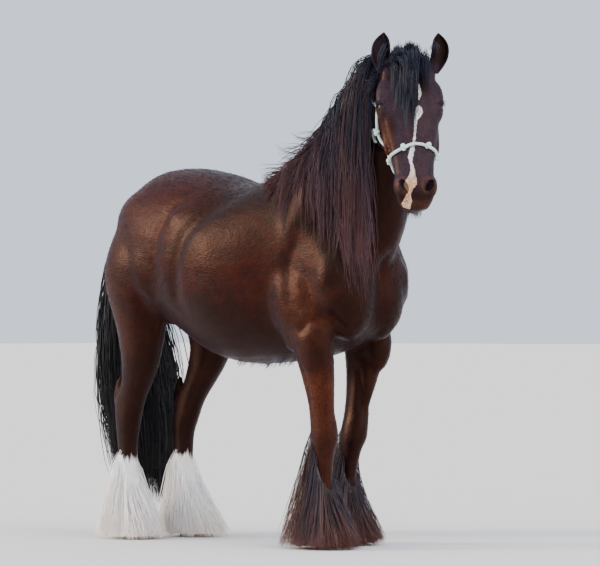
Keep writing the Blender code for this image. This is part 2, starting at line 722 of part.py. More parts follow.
def halter(nodes):
    """The rope halter: a noseband with its knots, and a headpiece that goes up behind the ears."""
    right, down, out = head_axes()
    tree = surface_tree([nodes["head"], nodes["neck"]])
    height = ROPE_RADIUS * 1.25 + 0.0022
    loop = [head_point(0, 0.590, 0.0), head_point(0.060, 0.605, -0.02), head_point(0.095, 0.690, -0.09),
            head_point(0.060, 0.705, -0.16), head_point(0, 0.705, -0.20), head_point(-0.060, 0.705, -0.16),
            head_point(-0.095, 0.690, -0.09), head_point(-0.060, 0.605, -0.02)]
    band_path = rope_path(loop, tree, height, 36, closed=True)
    band = rope("halter_noseband", band_path, ROPE_RADIUS * 1.25, closed=True)
    knots = []
    for index in (5, 31, 9, 27, 18):
        place = band_path[index]
        knots.append(egg("knot", lift_off(tree, place, 0.0085), head_axes(), (0.0085, 0.0078, 0.0078), 1))
    nodes["halter_noseband"] = combine(band, knots, "UNION")
    sides = []
    for side in (1, -1):
        sides.append([head_point(side * 0.105, 0.655, -0.112), head_point(side * 0.115, 0.570, -0.150),
                      head_point(side * 0.120, 0.440, -0.160), head_point(side * 0.125, 0.320, -0.120),
                      head_point(side * 0.125, 0.190, -0.100), head_point(side * 0.115, 0.060, -0.080)])
    crown = [head_point(0.060, -0.050, -0.030), head_point(0, -0.065, -0.005), head_point(-0.060, -0.050, -0.030)]
    over = rope_path(sides[0] + crown + sides[1][::-1], tree, ROPE_RADIUS + 0.0022, 62)
    piece = rope("halter_headpiece", over, ROPE_RADIUS)
    turns = [egg("knot", lift_off(tree, over[index], 0.0085), head_axes(), (0.0085, 0.0078, 0.0078), 1)
             for index in (13, 48)]
    nodes["halter_headpiece"] = combine(piece, turns, "UNION")


def plain_mane(nodes):
    """The mane's plain form."""
    rows = [((0.02, 0.20, 1.40), 0.03, 0.06), ((-0.10, 0.10, 1.42), 0.05, 0.18), ((-0.12, 0.00, 1.45), 0.05, 0.26),
            ((-0.145, -0.10, 1.52), 0.045, 0.28), ((-0.16, -0.20, 1.60), 0.04, 0.24),
            ((-0.16, -0.27, 1.70), 0.035, 0.16)]
    rings = [ring(Vector(place), Vector((1, 0, 0)), Vector((0.2, 0, 0.98)), half, tall, tall, sides=12)
             for place, half, tall in rows]
    return [tube("mane", rings)]


def plain_forelock():
    """The forelock's plain form."""
    return [egg("forelock", head_point(0.0, 0.200, 0.006), head_axes(), (0.060, 0.120, 0.020), 2)]


def plain_tail():
    """The tail's plain form."""
    spots = [(0.0, 1.170, 1.27, 0.050, 0.040), (0.02, 1.205, 1.05, 0.090, 0.055), (0.06, 1.215, 0.80, 0.140, 0.075),
             (0.09, 1.215, 0.50, 0.170, 0.085), (0.10, 1.205, 0.25, 0.130, 0.070), (0.10, 1.200, 0.13, 0.050, 0.030)]
    rings = [ring(Vector((x, y, z)), Vector((1, 0, 0)), Vector((0, -1, 0)), half, deep, deep, sides=12)
             for x, y, z, half, deep in spots]
    return [tube("hair", rings)]


def plain_feather(rows, side, step, top):
    """The feather's plain form round one foot."""
    spots = [(top, 0.048, 0.060), (top * 0.62, 0.078, 0.092), (0.10, 0.098, 0.122), (0.006, 0.116, 0.150)]
    middle = rows[-5]
    rings = [ring(Vector((side * middle.x, middle.y - 0.01 + leg_shift(z, step), z)), Vector((1, 0, 0)),
                  Vector((0, -1, 0)), half, deep, deep, sides=16) for z, half, deep in spots]
    return [tube("feather", rings)]


def add_hair(nodes):
    """Join the hair to the nodes it grows from."""
    combine(nodes["neck"], plain_mane(nodes), "UNION")
    combine(nodes["neck"], [neck_side_clear(), head_region(GAP)], "DIFFERENCE")
    combine(nodes["head"], plain_forelock(), "UNION")
    combine(nodes["tail"], plain_tail(), "UNION")
    for side, hand, fore_step, hind_step in ((-1, "right", 0, 0), (1, "left", LEFT_FORE_BACK, LEFT_HIND_FORWARD)):
        for end, rows, step, top in (("fore", fore_rows(), fore_step, 0.34), ("hind", hind_rows(), hind_step, 0.36)):
            leg = nodes[f"{end}leg_{hand}_lower"]
            combine(leg, plain_feather(rows, side, step, top), "UNION")
            combine(leg, [grown_copy(nodes[f"hoof_{end}_{hand}"], "clear", 0.004)], "DIFFERENCE")


def neck_side_clear():
    """What the mane's plain form must leave clear: the chest's side of the neck's cut."""
    return plane_region(Vector(NECK_BASE), -Vector(NECK_LEAN), 0.70, 0.0)


def finish_nodes(nodes):
    """Name every node, give it its finish and shade it smooth."""
    finishes = {"bay": material("bay_coat", BAY, 0.35), "dark": material("dark_coat", DARK_BAY, 0.4),
                "black": material("black_hair", BLACK, 0.45), "white": material("white_feather", WHITE, 0.6),
                "hoof": material("hoof_horn", (0.05, 0.045, 0.04), 0.5),
                "eye": material("eye_gloss", (0.01, 0.006, 0.004), 0.08),
                "rope": material("halter_rope", (0.55, 0.72, 0.68), 0.75)}
    kinds = [("eye_", "eye"), ("hoof_", "hoof"), ("halter_", "rope"), ("tail", "black"), ("hindleg_", "bay"),
             ("foreleg_", "dark"), ("neck", "dark"), ("head", "dark"), ("ear_", "dark"), ("torso", "bay")]
    for name, thing in nodes.items():
        thing.name = name
        thing.data.name = name
        kind = next(kind for start, kind in kinds if name.startswith(start))
        if name.startswith("hindleg") and name.endswith("lower"):
            kind = "white"
        thing.data.materials.clear()
        thing.data.materials.append(finishes[kind])


def centre_on_floor(nodes):
    """Move everything so that the origin is at the bottom centre of its box."""
    corners = [thing.matrix_world @ Vector(corner) for thing in nodes.values() for corner in thing.bound_box]
    low = Vector([min(corner[axis] for corner in corners) for axis in range(3)])
    high = Vector([max(corner[axis] for corner in corners) for axis in range(3)])
    shift = Vector(((low.x + high.x) / 2, (low.y + high.y) / 2, low.z))
    for thing in nodes.values():
        thing.data.transform(Matrix.Translation(-shift))
    return shift


def main():
    """Build the horse."""
    clear_scene()
    random.seed(11)
    body = fuse_flesh("torso", body_forms(), BODY_VOXEL, BODY_SMOOTHING, BODY_TRIANGLES)
    head = fuse_flesh("head", head_forms() + neck_forms(), HEAD_VOXEL, HEAD_SMOOTHING, HEAD_TRIANGLES)
    nodes = part_flesh(body, head)
    cut_mouth(nodes["head"])
    open_nostrils(nodes["head"])
    open_eyes(nodes["head"])
    for side, hand in ((-1, "left"), (1, "right")):
        grown = grown_copy(nodes["head"], "clear", GAP)
        nodes[f"ear_{hand}"] = combine(ear(f"ear_{hand}", side), [grown], "DIFFERENCE")
        nodes[f"eye_{hand}"] = eyeball(f"eye_{hand}", side)
    for side, hand, fore_step, hind_step in ((-1, "right", 0, 0), (1, "left", LEFT_FORE_BACK, LEFT_HIND_FORWARD)):
        nodes[f"hoof_fore_{hand}"] = hoof("hoof", fore_rows(), side, fore_step)
        nodes[f"hoof_hind_{hand}"] = hoof("hoof", hind_rows(), side, hind_step)
    halter(nodes)
    add_hair(nodes)
    finish_nodes(nodes)
    return centre_on_floor(nodes)


SHIFT = main()
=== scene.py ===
"""Dresses the life-size bay gypsy vanner horse: its skin, coat, long hair, eyes, hooves and rope halter.

Everything is laid out in the animal's own frame, where Y is measured backwards from a line between the
fore feet, and is moved to the frame of the solids when a piece is finished.
"""

import logging
import math
import random
from dataclasses import dataclass, field
from enum import Enum

import bmesh
import bpy
import numpy as np
from mathutils import Matrix, Vector, kdtree
from mathutils.bvhtree import BVHTree

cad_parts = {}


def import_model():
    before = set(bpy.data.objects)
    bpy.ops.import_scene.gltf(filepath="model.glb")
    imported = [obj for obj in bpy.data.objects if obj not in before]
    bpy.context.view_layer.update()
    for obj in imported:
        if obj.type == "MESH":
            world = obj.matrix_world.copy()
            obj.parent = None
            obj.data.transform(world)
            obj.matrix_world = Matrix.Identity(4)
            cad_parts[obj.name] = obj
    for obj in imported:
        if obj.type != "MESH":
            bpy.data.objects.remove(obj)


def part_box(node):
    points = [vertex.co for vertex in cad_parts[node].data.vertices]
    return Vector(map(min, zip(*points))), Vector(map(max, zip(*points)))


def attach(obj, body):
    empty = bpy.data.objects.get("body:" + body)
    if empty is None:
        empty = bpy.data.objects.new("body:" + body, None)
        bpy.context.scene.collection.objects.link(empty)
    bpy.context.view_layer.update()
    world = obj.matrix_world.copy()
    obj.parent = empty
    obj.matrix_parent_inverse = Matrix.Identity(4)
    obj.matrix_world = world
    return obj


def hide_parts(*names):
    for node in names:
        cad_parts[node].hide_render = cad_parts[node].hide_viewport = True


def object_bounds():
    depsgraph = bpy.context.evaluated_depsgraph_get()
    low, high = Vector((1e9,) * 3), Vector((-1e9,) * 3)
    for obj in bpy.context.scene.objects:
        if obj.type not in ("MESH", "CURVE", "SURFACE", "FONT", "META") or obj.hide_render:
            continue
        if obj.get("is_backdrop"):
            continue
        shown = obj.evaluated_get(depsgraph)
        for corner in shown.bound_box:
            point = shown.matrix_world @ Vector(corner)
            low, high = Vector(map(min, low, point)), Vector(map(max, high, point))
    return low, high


LOG = logging.getLogger("horse")
Colour = tuple[float, float, float]
UP = Vector((0, 0, 1))
PATCH = 0.003
HOOF_LOW_CORNER = Vector((-0.188, -0.142, 0.0))


class Part(Enum):
    """The record's material slots."""

    COAT = "bay_coat"
    MANE = "mane_and_neck"
    TAIL = "tail_hair"
    DARK_FEATHER = "dark_feather"
    WHITE_FEATHER = "white_feather"
    HOOF = "hoof"
    EYE = "eye"
    ROPE = "halter_rope"


class Side(Enum):
    """The animal's two sides, by the sign of X."""

    RIGHT = -1
    LEFT = 1


class Sum:
    """A node socket that takes part in sums written as Python expressions."""

    def __init__(self, draft: "Draft", socket: bpy.types.NodeSocket) -> None:
        """Keep the socket and the draft that it belongs to."""
        self.draft, self.socket = draft, socket

    def _do(self, operation: str, *others: object) -> "Sum":
        """One maths node with these inputs."""
        return self.draft.add("ShaderNodeMath", {"operation": operation}, dict(enumerate(others)))

    def __add__(self, other: object) -> "Sum":
        """Sum."""
        return self._do("ADD", self, other)

    def __radd__(self, other: object) -> "Sum":
        """Reflected sum."""
        return self._do("ADD", other, self)

    def __sub__(self, other: object) -> "Sum":
        """Difference."""
        return self._do("SUBTRACT", self, other)

    def __rsub__(self, other: object) -> "Sum":
        """Reflected difference."""
        return self._do("SUBTRACT", other, self)

    def __mul__(self, other: object) -> "Sum":
        """Product."""
        return self._do("MULTIPLY", self, other)

    def __rmul__(self, other: object) -> "Sum":
        """Reflected product."""
        return self._do("MULTIPLY", other, self)

    def __truediv__(self, other: object) -> "Sum":
        """Quotient."""
        return self._do("DIVIDE", self, other)

    def __pow__(self, other: object) -> "Sum":
        """Power."""
        return self._do("POWER", self, other)

    def top(self, other: object) -> "Sum":
        """The larger of the two."""
        return self._do("MAXIMUM", self, other)

    def cap(self, other: object) -> "Sum":
        """The smaller of the two."""
        return self._do("MINIMUM", self, other)

    def wave(self) -> "Sum":
        """Sine."""
        return self._do("SINE", self)

    def size(self) -> "Sum":
        """Absolute value."""
        return self._do("ABSOLUTE", self)

    def ramp(self, low: float, high: float) -> "Sum":
        """A soft step from 0 at low to 1 at high; low may be the larger."""
        return self.draft.add("ShaderNodeMapRange", {"interpolation_type": "SMOOTHSTEP", "clamp": True},
                              {"Value": self, "From Min": low, "From Max": high})


class Draft:
    """A node tree under construction."""

    def __init__(self, tree: bpy.types.NodeTree) -> None:
        """Keep the tree that nodes are added to."""
        self.tree = tree

    def add(self, kind: str, settings: dict | None = None, inputs: dict | None = None, out: object = 0) -> Sum:
        """Add one node.

        Args:
            kind: The node's type.
            settings: Its own settings, by name.
            inputs: Values, colours or sockets, by the input's name or place.
            out: The name or place of the output that is returned.

        Returns:
            The output, ready for sums.
        """
        node = self.tree.nodes.new(kind)
        for name, value in (settings or {}).items():
            setattr(node, name, value)
        for key, value in (inputs or {}).items():
            self.feed(node, key, value)
        return Sum(self, self.pick(node.outputs, out))

    def pick(self, sockets: object, key: object) -> bpy.types.NodeSocket:
        """The shown socket of that name or place.

        Args:
            sockets: A node's inputs or outputs.
            key: A name, or a place among the shown ones.

        Returns:
            The socket.
        """
        shown = [socket for socket in sockets if socket.enabled]
        return shown[key] if isinstance(key, int) else next(socket for socket in shown if socket.name == key)

    def feed(self, node: bpy.types.Node, key: object, value: object) -> None:
        """Set or link one input.

        Args:
            node: The node.
            key: The input's name or place.
            value: A number, a colour, a setting or a socket in a Sum.
        """
        target = self.pick(node.inputs, key)
        if isinstance(value, Sum):
            self.tree.links.new(value.socket, target)
        elif isinstance(value, tuple) and len(value) == 3 and len(target.default_value) == 4:
            target.default_value = (*value, 1.0)
        else:
            target.default_value = value

    def vector(self, operation: str, *values: object, out: object = 0) -> Sum:
        """One vector maths node.

        Args:
            operation: What it does.
            values: Its inputs in order.
            out: The output that is returned.

        Returns:
            The output.
        """
        return self.add("ShaderNodeVectorMath", {"operation": operation}, dict(enumerate(values)), out)


class ShaderDraft(Draft):
    """A material under construction."""

    def __init__(self, name: str) -> None:
        """Start a material with one Principled shader.

        Args:
            name: The material's name.
        """
        self.material = bpy.data.materials.new(name)
        self.material.use_nodes = True
        super().__init__(self.material.node_tree)
        self.shader = self.tree.nodes["Principled BSDF"]
        self.place = self.add("ShaderNodeTexCoord", out="Object")

    def noise(self, scale: object, detail: float = 3.0, place: Sum | None = None, rough: float = 0.5) -> Sum:
        """Smooth noise between 0 and 1.

        Args:
            scale: How fine it is: a number, or three for a stretched noise.
            detail: Octaves.
            place: Where it is read.
            rough: How strong the finer octaves are.

        Returns:
            The noise.
        """
        spot = place or self.place
        if isinstance(scale, tuple):
            spot, scale = self.vector("MULTIPLY", spot, scale), 1.0
        return self.add("ShaderNodeTexNoise", None,
                        {"Vector": spot, "Scale": scale, "Detail": detail, "Roughness": rough})

    def axis(self, name: str) -> Sum:
        """One coordinate of the place, X, Y or Z."""
        return self.add("ShaderNodeSeparateXYZ", None, {0: self.place}, name)

    def mark(self, name: str) -> Sum:
        """A number kept on the mesh under this name."""
        return self.add("ShaderNodeAttribute", {"attribute_name": name}, None, "Fac")

    def blend(self, share: object, first: object, second: object) -> Sum:
        """Blend two colours.

        Args:
            share: How much of the second.
            first: A colour.
            second: A colour.

        Returns:
            The blended colour.
        """
        node = self.tree.nodes.new("ShaderNodeMix")
        node.data_type = "RGBA"
        for key, value in (("Factor", share), ("A", first), ("B", second)):
            self.feed(node, key, value)
        return Sum(self, self.pick(node.outputs, 0))

    def bump(self, height: Sum, depth: float, strength: float = 1.0) -> None:
        """Raise the surface by a height.

        Args:
            height: The height, about 0 to 1.
            depth: Metres at 1.
            strength: How strongly it shows.
        """
        self.feed(self.shader, "Normal", self.add("ShaderNodeBump", None,
                                                  {"Strength": strength, "Distance": depth, "Height": height}))

    def finish(self, colour: object, roughness: object, **sockets: object) -> bpy.types.Material:
        """Set the shader.

        Args:
            colour: Base colour.
            roughness: Roughness.
            sockets: Other inputs by name, with underscores for spaces.

        Returns:
            The material.
        """
        self.feed(self.shader, "Base Color", colour)
        self.feed(self.shader, "Roughness", roughness)
        for name, value in sockets.items():
            self.feed(self.shader, name.replace("_", " "), value)
        return self.material


class Tree(Draft):
    """A Geometry Nodes tree with named inputs, which makes a piece's mesh."""

    TITLE = ""
    SIZES: dict = {}

    def __init__(self) -> None:
        """Build the tree once, with an input for each size."""
        super().__init__(bpy.data.node_groups.new(self.TITLE, "GeometryNodeTree"))
        face = self.tree.interface
        for way in ("INPUT", "OUTPUT"):
            face.new_socket("Geometry", in_out=way, socket_type="NodeSocketGeometry")
        self.keys = {}
        for name, value in self.SIZES.items():
            kind = {int: "Int", float: "Float"}.get(type(value), value)
            socket = face.new_socket(name, in_out="INPUT", socket_type="NodeSocket" + kind)
            if kind != value:
                socket.default_value = value
            self.keys[name] = socket.identifier
        self.group = self.tree.nodes.new("NodeGroupInput")
        self.start = Sum(self, self.group.outputs[0])
        self.grow()

    def given(self, name: str) -> Sum:
        """One of the tree's named inputs."""
        return Sum(self, self.pick(self.group.outputs, name))

    def named(self, name: str, kind: str = "FLOAT") -> Sum:
        """A number or a vector kept on the mesh under this name."""
        return self.add("GeometryNodeInputNamedAttribute", {"data_type": kind}, {"Name": name})

    def scaled(self, vector: Sum, share: Sum) -> Sum:
        """A vector times a number that changes from place to place.

        Args:
            vector: The vector.
            share: The number.

        Returns:
            The product.
        """
        longer = self.vector("SCALE", vector, 0.0)
        self.tree.links.new(share.socket, longer.socket.node.inputs["Scale"])
        return longer

    def close(self, body: Sum, under: Sum | None = None) -> None:
        """Make the body real, give it its material and end the tree.

        Args:
            body: The geometry.
            under: A form that is joined to it.
        """
        body = self.add("GeometryNodeRealizeInstances", None, {0: body})
        body = self.add("GeometryNodeSetMaterial", None, {"Geometry": body, "Material": self.given("Finish")})
        both = self.tree.nodes.new("GeometryNodeJoinGeometry")
        for part in (body, under) if under else (body,):
            self.tree.links.new(part.socket, both.inputs[0])
        self.tree.links.new(both.outputs[0], self.tree.nodes.new("NodeGroupOutput").inputs[0])

    def run(self, name: str, mesh: bpy.types.Mesh, **sizes: object) -> bpy.types.Object:
        """Make one piece.

        Args:
            name: The piece's name.
            mesh: The mesh that the tree starts from.
            sizes: Named inputs of the tree, with underscores for spaces.

        Returns:
            The piece, with a plain mesh.
        """
        piece = link(name, mesh)
        made = piece.modifiers.new("make", "NODES")
        made.node_group = self.tree
        for key, value in sizes.items():
            if value is not None:
                made[self.keys[key.replace("_", " ")]] = value
        return apply_all(piece)


@dataclass(frozen=True)
class BayCoat:
    """The short glossy coat: mahogany on the trunk, near black on legs and mane line, with white markings, painted
    highlights and painted shade.
    """

    black: Colour = (0.0032, 0.0020, 0.0024)
    dark: Colour = (0.0070, 0.0012, 0.0009)
    red: Colour = (0.0300, 0.0020, 0.0008)
    # Golden tan for the painted highlights on ridges that catch the light.
    painted_highlight_tan: Colour = (0.0800, 0.0180, 0.0060)
    white: Colour = (0.780, 0.750, 0.710)
    pink: Colour = (0.600, 0.330, 0.170)
    # The face's dark colour, tinted purple-blue as a painted sheen.
    dark_face_painted_sheen: Colour = (0.0230, 0.0170, 0.0290)
    rust: Colour = (0.110, 0.042, 0.022)
    sock_height: float = 0.325
    hind_begins: float = 0.25

    def make(self) -> bpy.types.Material:
        """Build the material.

        Returns:
            The material.
        """
        draft = ShaderDraft("bay_coat")
        z, y = draft.axis("Z"), draft.axis("Y")
        broad = draft.noise(3.1, 3.0)
        fine = draft.noise(14.0, 4.0)
        streak = draft.noise((60.0, 13.0, 32.0), 4.0, rough=0.62)
        dapple = draft.noise(24.0, 1.0)
        leg = z.ramp(0.66, 0.32)
        face = draft.mark("face")
        # Painted shade: the barrel is less red towards the belly.
        belly = z.ramp(1.02, 0.74)
        glow = (broad - 0.30) * 1.9 + (streak - 0.5) * 0.55 + (dapple - 0.5) * 0.30
        warm = (glow * (1.0 - leg * 0.72) * (1.0 - belly * 0.35)).ramp(0.05, 0.95)
        colour = draft.blend(warm, self.dark, self.red)
        # Painted highlight: tan where the thigh's ridge, the shoulder, the lit cheek and the lit leg sides catch the
        # light.
        ridge = (draft.mark("ridge") * 0.75 + (fine - 0.5) * 0.5) * (1.0 - leg * 0.4)
        colour = draft.blend(ridge.ramp(0.10, 1.0), colour, self.painted_highlight_tan)
        # Painted shade: the skin under and beside the mane and forelock goes near black, along with the dark topline.
        shade = draft.mark("topline").top(draft.mark("under_mane"))
        rear = (y - self.hind_begins).ramp(0.0, 0.02)
        # Painted shade: the hindquarters are painted darker towards the rear.
        painted_haunch_shade = (y - 0.55).ramp(0.0, 0.30) * 0.42
        # The hind legs are painted darker than the fore legs, which are kept lighter as painted light; the black of
        # the legs is their own colour.
        deep = (leg * (0.20 + rear * 0.38) + painted_haunch_shade + shade * 0.9 + (streak - 0.5) * 0.5).ramp(0.25, 1.0)
        colour = draft.blend(deep * 0.92, colour, self.black)
        # The front of the face takes the dark colour with its painted blue sheen, or black where the night mark is.
        dark_face_painted_sheen = (face + (fine - 0.5) * 0.5).ramp(0.15, 0.85)
        night = draft.blend(draft.mark("night"), self.dark_face_painted_sheen, self.black)
        colour = draft.blend(dark_face_painted_sheen * 0.95, colour, night)
        colour = draft.blend((draft.mark("rim") + (fine - 0.5) * 0.3) * 0.8, colour, self.rust)
        edge = (streak - 0.5) * 0.9 + (draft.noise((230.0, 230.0, 45.0), 3.0) - 0.5) * 1.8
        blaze = (draft.mark("blaze") + edge).ramp(-0.10, 0.50)
        sock = ((self.sock_height - z) * 14.0 + (draft.noise((38.0, 38.0, 6.0), 3.0) - 0.5) * 2.2)
        hind = sock.ramp(-0.15, 0.25) * rear
        colour = draft.blend(blaze.top(hind), colour, self.white)
        colour = draft.blend(draft.mark("pink") * blaze * (0.45 + fine * 0.8), colour, self.pink)
        hair = draft.noise((420.0, 90.0, 210.0), 2.0)
        colour = draft.blend((hair.ramp(0.62, 0.35) + streak.ramp(0.60, 0.30) * 0.6) * (1.0 - hind) * 0.55, colour,
                             self.black)
        draft.bump(hair * 0.6 + streak * 0.9 + dapple * 0.25, 0.0026, 0.70)
        gloss = 0.42 + (fine - 0.5) * 0.26 + painted_haunch_shade * 0.40 + hind * 0.2
        return draft.finish(colour, gloss, Specular_IOR_Level=0.17, Sheen_Weight=0.035, Sheen_Roughness=0.4,
                            Sheen_Tint=(0.85, 0.62, 1.0), Specular_Tint=(1.0, 0.50, 0.36))


@dataclass(frozen=True)
class LongHair:
    """Long hair that changes colour from root to tip and from lock to lock."""

    name: str
    root: Colour
    tip: Colour
    light: Colour
    lighter: float = 0.35
    roughness: float = 0.42
    sheen: float = 0.10

    def make(self) -> bpy.types.Material:
        """Build the material.

        Returns:
            The material.
        """
        draft = ShaderDraft(self.name)
        share, tone = draft.mark("share"), draft.mark("tone")
        patches = draft.noise((26.0, 26.0, 7.0), 3.0)
        along = (share + (patches - 0.5) * 0.7 + (tone - 0.5) * 0.4).ramp(0.25, 1.05)
        colour = draft.blend(along, self.root, self.tip)
        bright = ((tone + (patches - 0.5) * 0.8).ramp(0.55, 1.1)) * self.lighter
        colour = draft.blend(bright, colour, self.light)
        draft.bump(draft.noise((300.0, 300.0, 30.0), 2.0), 0.0012, 0.4)
        gloss = self.roughness + (tone - 0.5) * 0.16
        return draft.finish(colour, gloss, Specular_IOR_Level=0.36, Sheen_Weight=self.sheen, Sheen_Roughness=0.4,
                            Sheen_Tint=(0.55, 0.65, 1.0), Specular_Tint=(0.86, 0.90, 1.0))


@dataclass(frozen=True)
class Horn:
    """Dull dark hoof horn with growth rings and dust."""

    dark: Colour = (0.030, 0.024, 0.020)
    pale: Colour = (0.210, 0.165, 0.125)

    def make(self) -> bpy.types.Material:
        """Build the material.

        Returns:
            The material.
        """
        draft = ShaderDraft("hoof_horn")
        rings = (draft.axis("Z") * 900.0 + draft.noise(30.0, 2.0) * 6.0).wave() * 0.5 + 0.5
        stripes = draft.noise((120.0, 120.0, 9.0), 3.0)
        dust = (draft.noise(55.0, 4.0) + (0.02 - draft.axis("Z")) * 9.0).ramp(0.42, 0.80)
        colour = draft.blend((stripes + rings * 0.15).ramp(0.40, 0.80), self.dark, self.pale)
        colour = draft.blend(dust * 0.6, colour, (0.24, 0.20, 0.15))
        draft.bump(rings * 0.6 + stripes * 0.5, 0.0009, 0.5)
        return draft.finish(colour, 0.52 + dust * 0.25)


@dataclass(frozen=True)
class EyeGloss:
    """A wet dark eye: brown iris with a level pupil, and a pale rim at the corners."""

    iris: Colour = (0.022, 0.009, 0.004)
    pupil: Colour = (0.002, 0.002, 0.003)
    rim: Colour = (0.050, 0.030, 0.024)

    def make(self) -> bpy.types.Material:
        """Build the material.

        Returns:
            The material.
        """
        draft = ShaderDraft("eye_gloss")
        across, up = draft.mark("eye_across"), draft.mark("eye_up")
        oval = ((across / 0.40) ** 2.0 + (up / 0.17) ** 2.0) ** 0.5
        round_iris = (across * across + up * up) ** 0.5
        fibres = draft.noise((500.0, 500.0, 500.0), 3.0)
        iris = draft.blend(fibres.ramp(0.3, 0.8), self.iris, (0.045, 0.019, 0.008))
        colour = draft.blend(oval.ramp(1.15, 0.85), iris, self.pupil)
        colour = draft.blend(round_iris.ramp(0.74, 0.84), colour, self.rim)
        return draft.finish(colour, 0.26 + fibres * 0.06, Coat_Weight=0.05, Coat_Roughness=0.20,
                            Specular_IOR_Level=0.22)


@dataclass(frozen=True)
class BraidedRope:
    """Pale aqua braided rope with darker aqua patches as painted groove shade, and some dirt."""

    pale: Colour = (0.560, 0.780, 0.720)
    cream: Colour = (0.780, 0.760, 0.650)
    painted_groove_shade: Colour = (0.170, 0.290, 0.270)

    def make(self) -> bpy.types.Material:
        """Build the material.

        Returns:
            The material.
        """
        draft = ShaderDraft("halter_rope")
        fibre = draft.noise(900.0, 2.0)
        colour = draft.blend(draft.noise(60.0, 3.0).ramp(0.35, 0.75), self.pale, self.cream)
        # Painted shade: darker aqua in random patches for the shade in the rope's grooves.
        colour = draft.blend((draft.noise(240.0, 3.0) + fibre * 0.3).ramp(0.52, 0.95), colour, self.painted_groove_shade)
        draft.bump(fibre, 0.0006, 0.7)
        return draft.finish(colour, 0.72 + fibre * 0.15, Sheen_Weight=0.25, Sheen_Roughness=0.5)


@dataclass(frozen=True)
class PaleFloor:
    """A plain pale studio floor."""

    colour: Colour = (0.66, 0.65, 0.63)

    def make(self) -> bpy.types.Material:
        """Build the material.

        Returns:
            The material.
        """
        draft = ShaderDraft("studio_floor")
        cloud = draft.noise(0.6, 2.0)
        return draft.finish(draft.blend(cloud * 0.25, self.colour, (0.60, 0.59, 0.57)), 0.78)


def link(name: str, mesh: bpy.types.Mesh) -> bpy.types.Object:
    """Put a mesh in the scene.

    Args:
        name: The object's name.
        mesh: Its mesh.

    Returns:
        The object.
    """
    thing = bpy.data.objects.new(name, mesh)
    bpy.context.scene.collection.objects.link(thing)
    return thing


def from_bmesh(name: str, mesh_data: bmesh.types.BMesh) -> bpy.types.Object:
    """An object from a finished bmesh, in triangles that face outwards.

    Args:
        name: The object's name.
        mesh_data: The bmesh, which is freed.

    Returns:
        The object.
    """
    bmesh.ops.triangulate(mesh_data, faces=mesh_data.faces[:])
    bmesh.ops.recalc_face_normals(mesh_data, faces=mesh_data.faces[:])
    mesh = bpy.data.meshes.new(name)
    mesh_data.to_mesh(mesh)
    mesh_data.free()
    return link(name, mesh)


def ring(centre: Vector, across: Vector, up: Vector, half: float, rise: float, drop: float,
         low: float = 1.0, full: float = 1.0, sides: int = 32) -> list[Vector]:
    """Points round a section.

    Args:
        centre: Its middle.
        across: Its sideways direction.
        up: Its upward direction.
        half: Half its width.
        rise: How far it goes above its middle.
        drop: How far it goes below.
        low: The width of its lower half, as a share.
        full: How full its corners are, below 1 for fuller.
        sides: How many points.

    Returns:
        The points.
    """
    points = []
    for index in range(sides):
        angle = 2 * math.pi * index / sides
        side, top = math.sin(angle), math.cos(angle)
        width = half * math.copysign(abs(side) ** full, side)
        height = (rise if top > 0 else drop) * math.copysign(abs(top) ** full, top)
        if top < 0:
            width *= 1 + (low - 1) * -top
        points.append(centre + across * width + up * height)
    return points


def tube(name: str, rings: list[list[Vector]], closed: bool = False) -> bpy.types.Object:
    """A closed tube of rings.

    Args:
        name: The object's name.
        rings: Its rings, each with as many points.
        closed: Whether its ends meet.

    Returns:
        The object.
    """
    mesh_data = bmesh.new()
    rows = [[mesh_data.verts.new(point) for point in points] for points in rings]
    pairs = list(zip(rows, rows[1:])) + ([(rows[-1], rows[0])] if closed else [])
    for first, second in pairs:
        for index in range(len(first)):
            after = (index + 1) % len(first)
            mesh_data.faces.new((first[index], first[after], second[after], second[index]))
    if not closed:
        mesh_data.faces.new(rows[0][::-1])
        mesh_data.faces.new(rows[-1])
    return from_bmesh(name, mesh_data)


def egg(name: str, place: Vector, axes: list[Vector], radii: tuple, rounds: int = 4) -> bpy.types.Object:
    """An ellipsoid.

    Args:
        name: The object's name.
        place: Its centre.
        axes: Its three directions.
        radii: Its three radii.
        rounds: How finely it is divided.

    Returns:
        The object.
    """
    mesh_data = bmesh.new()
    bmesh.ops.create_icosphere(mesh_data, subdivisions=rounds, radius=1.0)
    for vert in mesh_data.verts:
        x, y, z = vert.co
        vert.co = place + axes[0] * (x * radii[0]) + axes[1] * (y * radii[1]) + axes[2] * (z * radii[2])
    return from_bmesh(name, mesh_data)


def remove(things: list[bpy.types.Object]) -> None:
    """Remove objects with their meshes.

    Args:
        things: The objects.
    """
    for thing in things:
        mesh = thing.data
        bpy.data.objects.remove(thing, do_unlink=True)
        bpy.data.meshes.remove(mesh)


def apply_all(thing: bpy.types.Object) -> bpy.types.Object:
    """Make the evaluated mesh the object's own.

    Args:
        thing: An object with modifiers.

    Returns:
        The same object, without them.
    """
    graph = bpy.context.evaluated_depsgraph_get()
    mesh = bpy.data.meshes.new_from_object(thing.evaluated_get(graph))
    thing.modifiers.clear()
    old, thing.data = thing.data, mesh
    bpy.data.meshes.remove(old)
    return thing


def combine(thing: bpy.types.Object, others: list[bpy.types.Object], operation: str) -> bpy.types.Object:
    """Apply one Boolean with several closed meshes, which are then removed.

    Args:
        thing: The object that is changed.
        others: The objects that are joined or cut away.
        operation: UNION or DIFFERENCE.

    Returns:
        The same object.
    """
    group = bpy.data.collections.new("pieces")
    bpy.context.scene.collection.children.link(group)
    for other in others:
        bpy.context.scene.collection.objects.unlink(other)
        group.objects.link(other)
    cut = thing.modifiers.new("join", "BOOLEAN")
    cut.operation, cut.operand_type, cut.collection, cut.solver = operation, "COLLECTION", group, "MANIFOLD"
    apply_all(thing)
    remove(others)
    bpy.data.collections.remove(group)
    return thing


